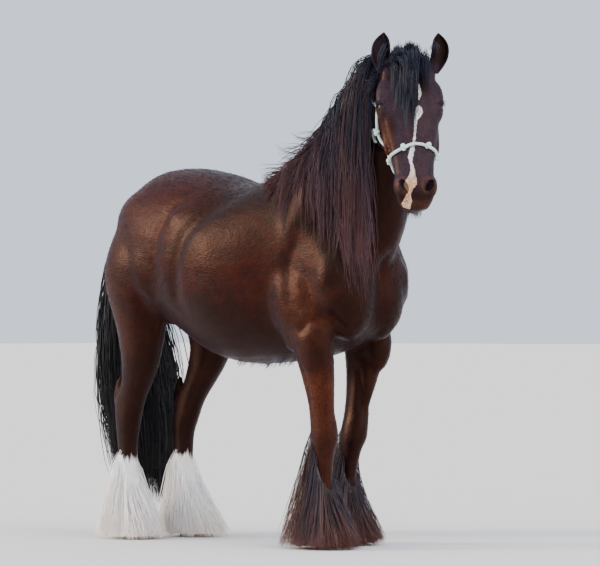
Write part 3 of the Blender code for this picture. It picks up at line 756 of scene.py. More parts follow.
def gather(name: str, things: list[bpy.types.Object]) -> bpy.types.Object:
    """Join meshes into one object as they are.

    Args:
        name: The new object's name.
        things: The objects, which are removed.

    Returns:
        The object.
    """
    mesh_data = bmesh.new()
    for thing in things:
        mesh_data.from_mesh(thing.data)
    remove(things)
    mesh = bpy.data.meshes.new(name)
    mesh_data.to_mesh(mesh)
    mesh_data.free()
    return link(name, mesh)


def curve_through(a: object, b: object, c: object, d: object, t: float) -> object:
    """A value between b and c on the smooth curve through four values.

    Args:
        a: The value before b.
        b: Where the stretch starts.
        c: Where it ends.
        d: The value after c.
        t: The share of the stretch.

    Returns:
        The value.
    """
    bend = (2 * a - 5 * b + 4 * c - d) * t * t + (3 * b - a - 3 * c + d) * t ** 3
    return 0.5 * (2 * b + (c - a) * t + bend)


def smooth_rows(rows: list[tuple], steps: int = 8) -> np.ndarray:
    """More rows on the smooth curve through those given.

    Args:
        rows: Rows of numbers.
        steps: New rows for each stretch.

    Returns:
        The finer rows.
    """
    values = np.array(rows, dtype=float)
    values = np.vstack([values[:1], values, values[-1:]])
    finer = [curve_through(*values[index:index + 4], step / steps)
             for index in range(len(values) - 3) for step in range(steps)]
    return np.array(finer + [values[-1]])


def numbers(mesh: bpy.types.Mesh, what: str = "co") -> np.ndarray:
    """A mesh's places or normals.

    Args:
        mesh: The mesh.
        what: co for places, normal for normals.

    Returns:
        One row for each vertex.
    """
    values = np.empty(len(mesh.vertices) * 3, np.float32)
    mesh.vertices.foreach_get(what, values)
    return values.reshape(-1, 3)


def keep(mesh: bpy.types.Mesh, name: str, values: np.ndarray) -> None:
    """Keep numbers or vectors on the mesh's vertices under a name.

    Args:
        mesh: The mesh.
        name: The name.
        values: One number or row for each vertex.
    """
    kind, key = ("FLOAT_VECTOR", "vector") if values.ndim == 2 else ("FLOAT", "value")
    layer = mesh.attributes.new(name, kind, "POINT")
    layer.data.foreach_set(key, np.ascontiguousarray(values, dtype=np.float32).ravel())


def step(value: np.ndarray, low: float, high: float) -> np.ndarray:
    """A soft step from 0 at low to 1 at high; low may be the larger.

    Args:
        value: The values.
        low: Where it is 0.
        high: Where it is 1.

    Returns:
        The steps.
    """
    share = np.clip((value - low) / (high - low), 0, 1)
    return share * share * (3 - 2 * share)


@dataclass
class HeadPlace:
    """Where the head is carried, and the directions that its forms are laid out on."""

    poll: Vector = field(default_factory=lambda: Vector((-0.110, -0.445, 1.842)))
    length: float = 0.58
    turn: float = math.radians(37.0)
    pitch: float = math.radians(67.0)

    def axes(self) -> list[Vector]:
        """The head's own directions.

        Returns:
            The head's right, down its face, and out of its face.
        """
        facing = self.facing()
        down = facing * math.cos(self.pitch) - UP * math.sin(self.pitch)
        out = facing * math.sin(self.pitch) + UP * math.cos(self.pitch)
        return [down.cross(out), down, out]

    def facing(self) -> Vector:
        """The level direction that the face looks in."""
        return Vector((-math.sin(self.turn), -math.cos(self.turn), 0))

    def at(self, right: float, along: float, out: float) -> Vector:
        """A place on the head.

        Args:
            right: Metres to the head's right.
            along: Share of its length down from the poll.
            out: Metres out of the face.

        Returns:
            The place.
        """
        axes = self.axes()
        return self.poll + axes[0] * right + axes[1] * (along * self.length) + axes[2] * out

    def local(self, places: np.ndarray) -> tuple[np.ndarray, np.ndarray, np.ndarray]:
        """The head's own coordinates of many places.

        Args:
            places: One row for each place.

        Returns:
            Metres right, shares along, metres out.
        """
        away = places - np.array(self.poll)
        right, down, out = (away @ np.array(axis) for axis in self.axes())
        return right, down / self.length, out


@dataclass
class Trunk:
    """The barrel, neck, withers, dock and the muscles that show."""

    bands: tuple = ((-0.215, 1.050, 0.100, 0.100, 0.115, 1.0, 1.0), (-0.190, 1.045, 0.170, 0.165, 0.185, 1.0, 1.0),
                    (-0.110, 1.055, 0.215, 0.245, 0.270, 0.9, 0.95), (0.020, 1.080, 0.225, 0.325, 0.345, 0.9, 0.95),
                    (0.150, 1.090, 0.245, 0.350, 0.380, 0.95, 0.92), (0.300, 1.080, 0.285, 0.335, 0.380, 1.0, 0.92),
                    (0.450, 1.070, 0.310, 0.332, 0.375, 1.0, 0.92), (0.600, 1.090, 0.305, 0.355, 0.365, 1.0, 0.92),
                    (0.750, 1.120, 0.285, 0.350, 0.315, 1.0, 0.92), (0.900, 1.140, 0.270, 0.320, 0.270, 1.0, 0.92),
                    (1.010, 1.140, 0.235, 0.250, 0.230, 1.0, 0.95), (1.080, 1.130, 0.165, 0.165, 0.170, 1.0, 1.0),
                    (1.110, 1.120, 0.090, 0.090, 0.095, 1.0, 1.0))
    neck: tuple = ((0, 0.230, 1.430, 0, -0.165, 0.980, 0.195), (0, 0.120, 1.520, 0, -0.262, 1.120, 0.170),
                   (-0.005, 0.030, 1.605, -0.008, -0.318, 1.240, 0.150),
                   (-0.020, -0.065, 1.690, -0.026, -0.335, 1.350, 0.130),
                   (-0.045, -0.165, 1.760, -0.052, -0.342, 1.450, 0.113),
                   (-0.072, -0.265, 1.808, -0.078, -0.356, 1.555, 0.099),
                   (-0.092, -0.355, 1.826, -0.100, -0.380, 1.640, 0.088),
                   (-0.108, -0.430, 1.815, -0.125, -0.440, 1.700, 0.075))
    dock: tuple = ((1.040, 1.330, 0.055), (1.110, 1.300, 0.048), (1.150, 1.220, 0.040), (1.165, 1.120, 0.033),
                   (1.170, 1.020, 0.026), (1.170, 0.950, 0.015))
    muscles: tuple = ((0.125, 0.060, 1.190, 0.105, 0.150, 0.280, 18), (0.140, -0.105, 1.020, 0.095, 0.105, 0.140, 0),
                      (0.172, 0.070, 0.950, 0.078, 0.130, 0.170, -20),
                      (0.080, -0.135, 0.930, 0.095, 0.085, 0.150, 10),
                      (0.168, 0.085, 0.820, 0.046, 0.050, 0.080, 0), (0.162, -0.030, 0.780, 0.056, 0.076, 0.120, 0),
                      (0.170, 0.640, 1.250, 0.110, 0.110, 0.090, 0), (0.125, 0.860, 1.230, 0.130, 0.210, 0.170, 10),
                      (0.165, 0.950, 1.080, 0.105, 0.140, 0.200, 5), (0.190, 0.830, 1.080, 0.095, 0.110, 0.180, -12),
                      (0.160, 0.835, 0.960, 0.080, 0.080, 0.100, 0))

    def forms(self) -> list[bpy.types.Object]:
        """Build every overlapping form of the trunk.

        Returns:
            The closed meshes.
        """
        rings = [ring(Vector((0, y, middle)), Vector((1, 0, 0)), UP, half, rise, drop, low, full)
                 for y, middle, half, rise, drop, low, full in smooth_rows(self.bands)]
        made = [tube("barrel", rings), self.neck_form()]
        for x, y, z, wide, long, tall, lean in self.muscles:
            turned = Matrix.Rotation(math.radians(lean), 3, "X")
            axes = [turned.col[0].copy(), turned.col[1].copy(), turned.col[2].copy()]
            for side in Side:
                made.append(egg("muscle", Vector((x * side.value, y, z)), axes, (wide, long, tall)))
        lean = Matrix.Rotation(math.radians(-8), 3, "X")
        made.append(egg("withers", Vector((0, 0.200, 1.385)), [lean.col[i].copy() for i in range(3)],
                        (0.060, 0.190, 0.075)))
        rings = [ring(Vector((0, y, z)), Vector((1, 0, 0)), Vector((0, -1, 0)) if z < 1.25 else
                      Vector((0, -0.5, 0.86)), half, half, half, sides=20) for y, z, half in self.dock]
        return made + [tube("dock", rings)]

    def neck_form(self) -> bpy.types.Object:
        """The neck, bent to the right.

        Returns:
            One closed mesh.
        """
        rows = smooth_rows(self.neck)
        crests = [Vector(row[:3]) for row in rows]
        throats = [Vector(row[3:6]) for row in rows]
        middles = [(crest + throat) / 2 for crest, throat in zip(crests, throats)]
        rings = []
        for index, middle in enumerate(middles):
            up = crests[index] - middle
            ahead = middles[min(index + 1, len(rows) - 1)] - middles[max(index - 1, 0)]
            rings.append(ring(middle, ahead.cross(up).normalized(), up.normalized(), rows[index][6],
                              up.length, up.length, 0.85))
        return tube("neck_form", rings)

    def crest(self, share: float) -> Vector:
        """A place on the neck's crest.

        Args:
            share: 0 behind the poll, 1 at the withers, and below 0 forward to between the ears.

        Returns:
            The place.
        """
        rows = smooth_rows([row[:3] for row in self.neck])
        spot = (1 - share) * (len(rows) - 1) * 6 / 7
        index = min(int(spot), len(rows) - 2)
        return Vector(rows[index] * (1 - (spot - index)) + rows[index + 1] * (spot - index))


@dataclass
class Legs:
    """The four legs, with the near pair of feet set back or forward by a step."""

    fore: tuple = ((0.98, 0.160, 0.010, 0.060, 0.105, 0.105), (0.86, 0.168, 0.000, 0.066, 0.100, 0.110),
                   (0.76, 0.165, -0.015, 0.064, 0.088, 0.095), (0.68, 0.158, -0.025, 0.056, 0.078, 0.080),
                   (0.60, 0.148, -0.030, 0.049, 0.066, 0.066), (0.52, 0.138, -0.032, 0.044, 0.056, 0.058),
                   (0.46, 0.130, -0.034, 0.049, 0.060, 0.058), (0.41, 0.127, -0.034, 0.050, 0.060, 0.060),
                   (0.36, 0.125, -0.028, 0.041, 0.048, 0.052), (0.28, 0.124, -0.024, 0.036, 0.042, 0.048),
                   (0.19, 0.123, -0.024, 0.038, 0.044, 0.050), (0.145, 0.122, -0.028, 0.045, 0.048, 0.056),
                   (0.10, 0.121, -0.044, 0.043, 0.044, 0.050), (0.060, 0.120, -0.055, 0.055, 0.058, 0.054),
                   (0.030, 0.120, -0.060, 0.055, 0.058, 0.054))
    hind: tuple = ((1.22, 0.150, 0.920, 0.100, 0.170, 0.130), (1.10, 0.168, 0.930, 0.112, 0.185, 0.165),
                   (1.00, 0.170, 0.930, 0.106, 0.172, 0.165), (0.92, 0.165, 0.930, 0.096, 0.145, 0.145),
                   (0.84, 0.160, 0.928, 0.086, 0.120, 0.122), (0.76, 0.154, 0.935, 0.075, 0.100, 0.104),
                   (0.68, 0.148, 0.950, 0.064, 0.088, 0.090), (0.61, 0.143, 0.975, 0.054, 0.074, 0.080),
                   (0.545, 0.140, 1.008, 0.049, 0.068, 0.080), (0.47, 0.138, 1.024, 0.047, 0.060, 0.064),
                   (0.39, 0.136, 1.030, 0.040, 0.048, 0.052), (0.29, 0.134, 1.030, 0.036, 0.042, 0.048),
                   (0.19, 0.133, 1.026, 0.039, 0.044, 0.052), (0.145, 0.132, 1.018, 0.045, 0.048, 0.056),
                   (0.10, 0.132, 1.000, 0.043, 0.044, 0.050), (0.060, 0.132, 0.990, 0.054, 0.057, 0.053),
                   (0.030, 0.132, 0.985, 0.054, 0.057, 0.053))
    fore_step: float = 0.14
    hind_step: float = -0.06
    walk_top: float = 1.10

    def rows(self, front: bool) -> tuple:
        """The sections of a fore or a hind leg."""
        return self.fore if front else self.hind

    def shift(self, z: float, side: Side, front: bool) -> float:
        """How far back a leg is set at a height.

        Args:
            z: The height.
            side: Which side.
            front: Whether it is a fore leg.

        Returns:
            Metres backwards.
        """
        if side is Side.RIGHT:
            return 0.0
        move = self.fore_step if front else self.hind_step
        bent = 0.0 if front else move * 1.15 * max(0.0, 1 - abs(z - 0.76) / 0.34)
        return move * max(0.0, 1 - z / self.walk_top) + bent

    def section(self, side: Side, front: bool, height: float) -> tuple[Vector, float, float, float]:
        """The leg's middle at a height, with half its width and its reach ahead and behind.

        Args:
            side: Which side.
            front: Whether it is a fore leg.
            height: The height.

        Returns:
            The middle, half width, reach ahead, reach behind.
        """
        rows = smooth_rows(self.rows(front))
        _, x, y, half, ahead, behind = rows[np.argmin(np.abs(rows[:, 0] - height))]
        return Vector((side.value * x, y + self.shift(height, side, front), height)), half, ahead, behind

    def forms(self) -> list[bpy.types.Object]:
        """Build the four legs and the points of the hocks.

        Returns:
            The closed meshes.
        """
        made = []
        for side in Side:
            for front in (True, False):
                rings = [ring(Vector((side.value * x, y + self.shift(z, side, front), z)), Vector((1, 0, 0)),
                              Vector((0, -1, 0)), half, ahead, behind)
                         for z, x, y, half, ahead, behind in smooth_rows(self.rows(front))]
                made.append(tube("leg", rings))
            place = Vector((side.value * 0.138, 1.080 + self.shift(0.56, side, False), 0.575))
            lean = Matrix.Rotation(math.radians(8), 3, "X")
            made.append(egg("hock", place, [lean.col[i].copy() for i in range(3)], (0.021, 0.025, 0.075)))
        return made


@dataclass
class Head:
    """The skull, its brows, cheeks, nostrils, lips, lids and ears."""

    place: HeadPlace
    faces: tuple = ((-0.10, -0.030, -0.090, -0.170, 0.060, 1.0, 1.0), (0.00, 0.000, -0.070, -0.200, 0.088, 0.9, 1.0),
                    (0.12, 0.012, -0.060, -0.235, 0.103, 0.8, 0.95), (0.24, 0.014, -0.052, -0.262, 0.115, 0.7, 0.90),
                    (0.34, 0.010, -0.050, -0.268, 0.116, 0.66, 0.85),
                    (0.45, 0.001, -0.055, -0.246, 0.108, 0.66, 0.85),
                    (0.56, -0.007, -0.060, -0.208, 0.096, 0.64, 0.85),
                    (0.68, -0.013, -0.062, -0.174, 0.083, 0.64, 0.87),
                    (0.79, -0.018, -0.064, -0.154, 0.077, 0.68, 0.92),
                    (0.88, -0.024, -0.070, -0.148, 0.079, 0.72, 0.95),
                    (0.95, -0.042, -0.084, -0.140, 0.068, 0.75, 0.95),
                    (1.00, -0.068, -0.096, -0.128, 0.049, 0.80, 1.0))
    eye_radius: float = 0.0215
    eye_place: tuple = (0.102, 0.328, -0.038)
    ear_length: float = 0.152
    ear_half: float = 0.036
    ear_wall: float = 0.005

    def forms(self) -> list[bpy.types.Object]:
        """Build every overlapping form of the head.

        Returns:
            The closed meshes.
        """
        at, axes = self.place.at, self.place.axes()
        rings = [ring(at(0, t, middle), axes[0], axes[2], half, top - middle, middle - bottom, low, full)
                 for t, top, middle, bottom, half, low, full in smooth_rows(self.faces)]
        made = [tube("skull", rings)]
        pairs = (((0.090, 0.265, -0.028), (0.042, 0.080, 0.027)), ((0.070, 0.350, -0.150), (0.045, 0.105, 0.100)),
                 ((0.094, 0.490, -0.068), (0.018, 0.095, 0.016)), ((0.057, 0.862, -0.058), (0.028, 0.048, 0.038)),
                 ((0.072, 0.085, -0.024), (0.036, 0.060, 0.034)), ((0.095, 0.325, -0.048), (0.036, 0.065, 0.034)))
        for (right, along, out), radii in pairs:
            for sign in (-1, 1):
                made.append(egg("form", at(sign * right, along, out), axes, radii))
        for (along, out), radii in (((0.960, -0.088), (0.054, 0.034, 0.034)),
                                    ((0.935, -0.136), (0.044, 0.038, 0.019)),
                                    ((0.870, -0.148), (0.034, 0.036, 0.026))):
            made.append(egg("lip", at(0, along, out), axes, radii))
        return made

    def eye_axes(self, sign: int) -> list[Vector]:
        """An eye's directions: along its lids, up, and the way it looks.

        Args:
            sign: 1 for the head's right eye, -1 for the left.

        Returns:
            The three directions.
        """
        right, down, out = self.place.axes()
        look = (right * sign * 0.88 + out * 0.47).normalized()
        upward = out * 0.35 - down * 0.9
        upward = (upward - look * upward.dot(look)).normalized()
        return [look.cross(upward), upward, look]

    def eye_centre(self, sign: int) -> Vector:
        """The middle of an eye."""
        right, along, out = self.eye_place
        return self.place.at(sign * right, along, out)

    def lids(self) -> list[bpy.types.Object]:
        """Swellings over the eyes that the lids are cut from, with a fold above and below.

        Returns:
            The closed meshes.
        """
        made = []
        for sign in (-1, 1):
            along, upward, look = self.eye_axes(sign)
            centre = self.eye_centre(sign)
            made.append(egg("lid", centre, [along, upward, look], (self.eye_radius + 0.0042,) * 3))
            for height, wide, thick, ahead in ((0.0150, 0.0250, 0.0042, 0.0150), (-0.0150, 0.0220, 0.0034, 0.0150)):
                place = centre + upward * height + look * ahead
                made.append(egg("fold", place, [along, upward, look], (wide, thick, thick * 1.2)))
        return made

    def openings(self) -> list[bpy.types.Object]:
        """What is cut out of the head: eye sockets and slits, nostrils, and the line of the mouth.

        Returns:
            The closed meshes.
        """
        right, down, out = self.place.axes()
        made = []
        for sign in (-1, 1):
            along, upward, look = self.eye_axes(sign)
            centre = self.eye_centre(sign)
            made.append(egg("hollow", centre, [along, upward, look], (self.eye_radius + 0.0004,) * 3))
            rings = [ring(centre + look * depth, along, upward, wide, tall, tall * 0.75, sides=28)
                     for depth, wide, tall in ((0.006, 0.0165, 0.0100), (0.05, 0.032, 0.0215))]
            made.append(tube("slit", rings))
            deep = (right * sign * 0.62 + out * 0.75 + down * 0.15).normalized()
            slant = (down * 0.88 + right * sign * -0.34).normalized()
            slant = (slant - deep * slant.dot(deep)).normalized()
            made.append(egg("nostril", self.place.at(sign * 0.047, 0.876, -0.034),
                            [deep, slant, slant.cross(deep).normalized()], (0.027, 0.025, 0.0120)))
        rings = []
        for index in range(25):
            angle = math.pi * index / 24
            wide, long = 0.056 * math.cos(angle), 0.190 * max(0.0, math.sin(angle)) ** 0.7
            inner = self.place.at(wide * 0.80, 0.800 + long * 0.86, -0.116)
            outer = self.place.at(wide * 1.75, 0.800 + long * 1.40, -0.116)
            rings.append([inner + out * 0.0012, outer + out * 0.0020, outer - out * 0.0020, inner - out * 0.0012])
        return made + [tube("mouth", rings)]

    def ear(self, sign: int) -> bpy.types.Object:
        """A pricked ear: a leaf with a deep cup that faces forward.

        Args:
            sign: 1 for the head's right ear, -1 for the left.

        Returns:
            One closed mesh.
        """
        right = self.place.axes()[0]
        facing = (self.place.facing() + right * sign * 0.25).normalized()
        across = UP.cross(facing)
        root = self.place.at(sign * 0.092, 0.105, -0.010)
        steps, arc = 22, 14
        rings = []
        for index in range(steps + 1):
            t = index / steps
            half = self.ear_half * (0.62 + 0.38 * math.sin(min(t / 0.42, 1) * math.pi / 2))
            if t > 0.42:
                half = self.ear_half * max(0.06, 1 - ((t - 0.42) / 0.58) ** 3.4)
            bow = math.sin(t * math.pi)
            lean = 0.012 * bow + (0.002 if sign > 0 else 0.020) * t
            centre = root + UP * self.ear_length * t + right * sign * lean + facing * 0.014 * bow
            back = [math.pi * (0.02 + 0.96 * k / arc) for k in range(arc + 1)]
            wall = min(self.ear_wall, half * 0.4)
            cup = 0.12 + 0.88 * min(1.0, t / 0.12)
            outer = [centre + across * half * math.cos(a) - facing * half * 0.85 * math.sin(a) for a in back]
            inner = [centre + across * (half - wall) * math.cos(a)
                     - facing * ((half - wall) * 0.85 * math.sin(a) * cup - wall * 0.3) for a in reversed(back)]
            rings.append(outer + inner)
        return tube("ear", rings)

    def eyeball(self, sign: int) -> bpy.types.Object:
        """One eyeball, with its own coordinates kept for the iris.

        Args:
            sign: 1 for the head's right eye, -1 for the left.

        Returns:
            One closed mesh.
        """
        axes = self.eye_axes(sign)
        centre = self.eye_centre(sign)
        ball = egg("eye_right" if sign > 0 else "eye_left", centre, axes, (self.eye_radius,) * 3, 5)
        away = (numbers(ball.data) - np.array(centre)) / self.eye_radius
        keep(ball.data, "eye_across", away @ np.array(axes[0]))
        keep(ball.data, "eye_up", away @ np.array(axes[1]))
        return ball


@dataclass
class Markings:
    """Numbers kept on skin and hair that tell the materials where the coat changes and where light and shade are
    painted.
    """

    place: HeadPlace
    blaze: tuple = ((0.180, -0.031, -0.004), (0.193, -0.031, 0.002), (0.23, -0.031, 0.005), (0.26, -0.032, 0.008),
                    (0.29, -0.028, 0.006), (0.315, -0.026, 0.000), (0.335, -0.025, -0.003), (0.365, -0.024, 0.013),
                    (0.39, -0.023, 0.017), (0.415, -0.019, 0.014), (0.44, -0.010, 0.008), (0.495, -0.006, 0.005),
                    (0.56, -0.002, 0.005), (0.615, 0.006, 0.006), (0.655, 0.012, 0.010), (0.695, 0.018, 0.010),
                    (0.73, 0.018, 0.006), (0.775, 0.012, 0.007), (0.815, 0.015, 0.013), (0.85, 0.022, 0.022),
                    (0.88, 0.022, 0.020), (0.91, 0.024, 0.006), (0.94, 0.033, 0.009), (0.97, 0.035, 0.018),
                    (1.00, 0.034, 0.012), (1.05, 0.033, -0.004))

    def put(self, mesh: bpy.types.Mesh) -> None:
        """Keep every mark on a mesh that is in the animal's own frame.

        Args:
            mesh: The mesh.
        """
        co, normal = numbers(mesh), numbers(mesh, "normal")
        right, along, out = self.place.local(co)
        rows = np.array(self.blaze)
        middle, half = (np.interp(along, rows[:, 0], rows[:, column]) for column in (1, 2))
        front = (out > -0.085) & (along > 0.15) & (along < 1.15)
        mark = np.clip((half - np.abs(right - middle)) / 0.005, -2.5, 2.5)
        keep(mesh, "blaze", np.where(front, mark, -3.0))
        head = step(co[:, 1], -0.30, -0.42) * step(co[:, 2], 1.10, 1.20)
        facing = step(normal @ np.array(self.place.axes()[2]), 0.15, 0.70)
        muzzle = step(along, 0.66, 0.90) * 0.75
        ear = step(co[:, 2], 1.800, 1.835) * step(co[:, 1], -0.36, -0.42)
        inside = np.clip(facing * 0.9 + muzzle, 0, 1)
        # Painted light: the right cheek, on the lit side, is kept lighter than the left.
        painted_lit_side = np.where(right > 0, 1.0, 0.35)
        cheek = step(np.abs(right), 0.042, 0.098) * step(along, 0.28, 0.50) * step(along, 0.86, 0.60) * painted_lit_side
        keep(mesh, "face", np.clip(head * (0.30 + 0.70 * inside) * (1 - 0.85 * cheek) + ear, 0, 1))
        # Painted shade: the forehead under the forelock is painted black; the ears and muzzle are their own black.
        fringe = step(along, 0.36, 0.16) * facing * head * step(np.abs(right), 0.085, 0.060)
        keep(mesh, "night", np.clip(ear + fringe + step(along, 0.80, 0.95), 0, 1))
        rim = sum(np.exp(-((np.linalg.norm(co - np.array(self.place.at(sign * 0.047, 0.876, -0.034)), axis=1)
                            - 0.027) / 0.008) ** 2) for sign in (-1, 1))
        lip = np.exp(-((along - 0.985) / 0.025) ** 2) * 0.5
        keep(mesh, "rim", np.clip(rim * 0.45 + lip * 0.8, 0, 1) * head)
        keep(mesh, "pink", step(along, 0.70, 0.90))
        upper_neck = step(co[:, 2], 1.12, 1.34) * step(co[:, 1], -0.10, -0.26) * step(out, -0.16, -0.22)
        crest = step(np.abs(co[:, 0] + 0.03), 0.12, 0.02) * step(normal[:, 2], 0.1, 0.7) * step(co[:, 2], 1.3, 1.5)
        keep(mesh, "topline", np.maximum(crest, upper_neck * 0.85))
        # Painted highlights: the ridge of the thigh, the shoulder, the lit cheek and the lit sides of the legs.
        side = np.abs(normal[:, 0])
        ridge = step(co[:, 1], 0.80, 0.98) * step(side, 0.25, 0.8) * step(co[:, 2], 0.55, 0.8)
        shoulder = np.exp(-((co[:, 1] + 0.02) / 0.14) ** 2 - ((co[:, 2] - 0.93) / 0.22) ** 2)
        # Painted highlight on the sides of the face and the lit cheek.
        cheek = head * np.maximum(cheek * 0.55, (1 - facing) * step(along, 0.75, 0.45) * 0.7)
        # Painted light on the near fore leg's lit side and on the fronts of the gaskins.
        limb = step(co[:, 2], 0.74, 0.60) * step(co[:, 1], 0.30, 0.10) * (0.25 + step(co[:, 0], 0.05, -0.05) * 0.6)
        limb += step(co[:, 2], 0.72, 0.62) * step(co[:, 1], 0.84, 0.78) * step(co[:, 1], 0.40, 0.55) * 0.5
        keep(mesh, "ridge", np.clip(ridge * 0.5 + shoulder * 0.7 + cheek + limb, 0, 1))


@dataclass
class Skin:
    """One skin over the whole animal, from dock to lips, with its ears, lids, nostrils and mouth."""

    trunk: Trunk
    legs: Legs
    head: Head
    voxel: float = 0.0050
    triangles: int = 178000
    coat_depth: float = 0.0030
    muscle_lines: tuple = (
        (0.0045, 0.026, (0.547, 1.384), (0.668, 1.302), (0.724, 1.198), (0.735, 1.081), (0.713, 0.944)),
        (0.0065, 0.036, (0.299, 1.378), (0.445, 1.316), (0.559, 1.195), (0.604, 1.068), (0.615, 0.944),
         (0.537, 0.835)),
        (0.0060, 0.036, (-0.041, 1.298), (0.022, 1.186), (0.058, 1.074), (0.042, 0.941), (-0.025, 0.836)),
        (0.0060, 0.030, (-0.150, 1.300), (-0.185, 1.190), (-0.190, 1.060), (-0.165, 0.930)),
        (0.0070, 0.022, (0.020, 0.800), (-0.040, 0.860), (-0.120, 0.865), (-0.185, 0.800)),
        (0.0050, 0.016, (0.010, 0.700), (-0.005, 0.600), (0.000, 0.500)),
        (0.0060, 0.030, (0.850, 1.000), (0.830, 0.880), (0.800, 0.780)),
        (0.0050, 0.018, (1.030, 0.760), (1.045, 0.640), (1.060, 0.560)))
    breast_line: tuple = (0.0110, 0.030, (0.0, 1.150), (0.0, 0.820))

    def soften(self, thing: bpy.types.Object) -> None:
        """Smooth the fused forms, most on the trunk and least on the head.

        Args:
            thing: The fused object.
        """
        co = numbers(thing.data)
        trunk = step(co[:, 2], 0.62, 0.90) * step(co[:, 1], -0.36, -0.26) * step(co[:, 1], 1.13, 1.10)
        _, along, _ = self.head.place.local(co)
        body = step(co[:, 1], -0.44, -0.30)
        brow = step(co[:, 1], -0.30, -0.40) * step(along, 0.62, 0.50) * step(co[:, 2], 1.25, 1.35)
        shares = {"all": (np.ones(len(co)), 9), "body": (body, 16), "trunk": (trunk, 110), "brow": (brow, 14)}
        for label, (share, count) in shares.items():
            group = thing.vertex_groups.new(name=label)
            for level in range(1, 11):
                chosen = np.flatnonzero(np.round(share * 10) == level)
                group.add(chosen.tolist(), level / 10, "REPLACE")
            smooth = thing.modifiers.new(label, "SMOOTH")
            smooth.factor, smooth.iterations, smooth.vertex_group = 0.5, count, label
        apply_all(thing)

    @staticmethod
    def furrow(flat: np.ndarray, line: tuple) -> np.ndarray:
        """How deep a muscle line is at many places.

        Args:
            flat: Places seen flat, two numbers each.
            line: Its depth, its breadth and its points.

        Returns:
            Metres inwards, fading out at both ends of the line.
        """
        deep, broad, *points = line
        points = [np.array(point) for point in points]
        lengths = [float(np.linalg.norm(last - first)) for first, last in zip(points, points[1:])]
        away, along, begun = np.full(len(flat), 1e9), np.zeros(len(flat)), 0.0
        for first, last, length in zip(points, points[1:], lengths):
            run = last - first
            share = np.clip((flat - first) @ run / (run @ run), 0, 1)
            gap = np.linalg.norm(flat - first - share[:, None] * run, axis=1)
            along = np.where(gap < away, (begun + share * length) / sum(lengths), along)
            away = np.minimum(away, gap)
            begun += length
        fade = step(along, 0.0, 0.25) * step(along, 1.0, 0.75)
        return deep * 1.6 * np.exp(-(away / broad) ** 2) * fade

    def carve(self, mesh: bpy.types.Mesh) -> None:
        """Draw the muscle lines into the trunk on both sides, and the line between the breast muscles.

        Args:
            mesh: The smoothed skin.
        """
        co, normal = numbers(mesh), numbers(mesh, "normal")
        side = step(np.abs(normal[:, 0]), 0.15, 0.45) * step(co[:, 1], -0.33, -0.28)
        depth = sum(self.furrow(co[:, 1:], line) for line in self.muscle_lines) * side
        front = step(-normal[:, 1], 0.3, 0.7) * step(co[:, 1], -0.10, -0.18) * step(co[:, 2], 1.22, 1.10)
        depth += self.furrow(co[:, ::2], self.breast_line) * front
        mesh.vertices.foreach_set("co", (co - normal * (depth + self.coat_depth)[:, None]).ravel())

    def build(self) -> bpy.types.Object:
        """Fuse, smooth and thin the forms, then add ears and lids and cut the openings.

        Returns:
            The skin in the animal's own frame.
        """
        skin = gather("skin", self.trunk.forms() + self.legs.forms() + self.head.forms())
        fuse = skin.modifiers.new("fuse", "REMESH")
        fuse.mode, fuse.voxel_size = "VOXEL", self.voxel * 1.0
        apply_all(skin)
        self.soften(skin)
        self.carve(skin.data)
        co = numbers(skin.data)
        skin.vertex_groups.clear()
        dense = skin.vertex_groups.new(name="dense")
        rough = np.flatnonzero(co[:, 1] < -0.36)
        dense.add(rough.tolist(), 1.0, "REPLACE")
        thin = skin.modifiers.new("thin", "DECIMATE")
        thin.ratio = min(1.0, self.triangles / (2.0 * len(skin.data.polygons)))
        thin.vertex_group, thin.vertex_group_factor, thin.invert_vertex_group = "dense", 2.0, True
        apply_all(skin)
        skin.vertex_groups.clear()
        combine(skin, self.head.lids() + [self.head.ear(sign) for sign in (-1, 1)], "UNION")
        combine(skin, self.head.openings(), "DIFFERENCE")
        skin.data.polygons.foreach_set("use_smooth", [True] * len(skin.data.polygons))
        return skin

    @staticmethod
    def unwrap(skin: bpy.types.Object) -> None:
        """Give the skin an unwrap of its own shape.

        Args:
            skin: The skin.
        """
        bpy.context.view_layer.objects.active = skin
        skin.select_set(True)
        skin.data.uv_layers.new(name="OFBake")
        bpy.ops.object.mode_set(mode="EDIT")
        bpy.ops.mesh.select_all(action="SELECT")
        bpy.ops.uv.smart_project(angle_limit=math.radians(75), island_margin=0.001, area_weight=0.0)
        bpy.ops.object.mode_set(mode="OBJECT")
        skin.select_set(False)


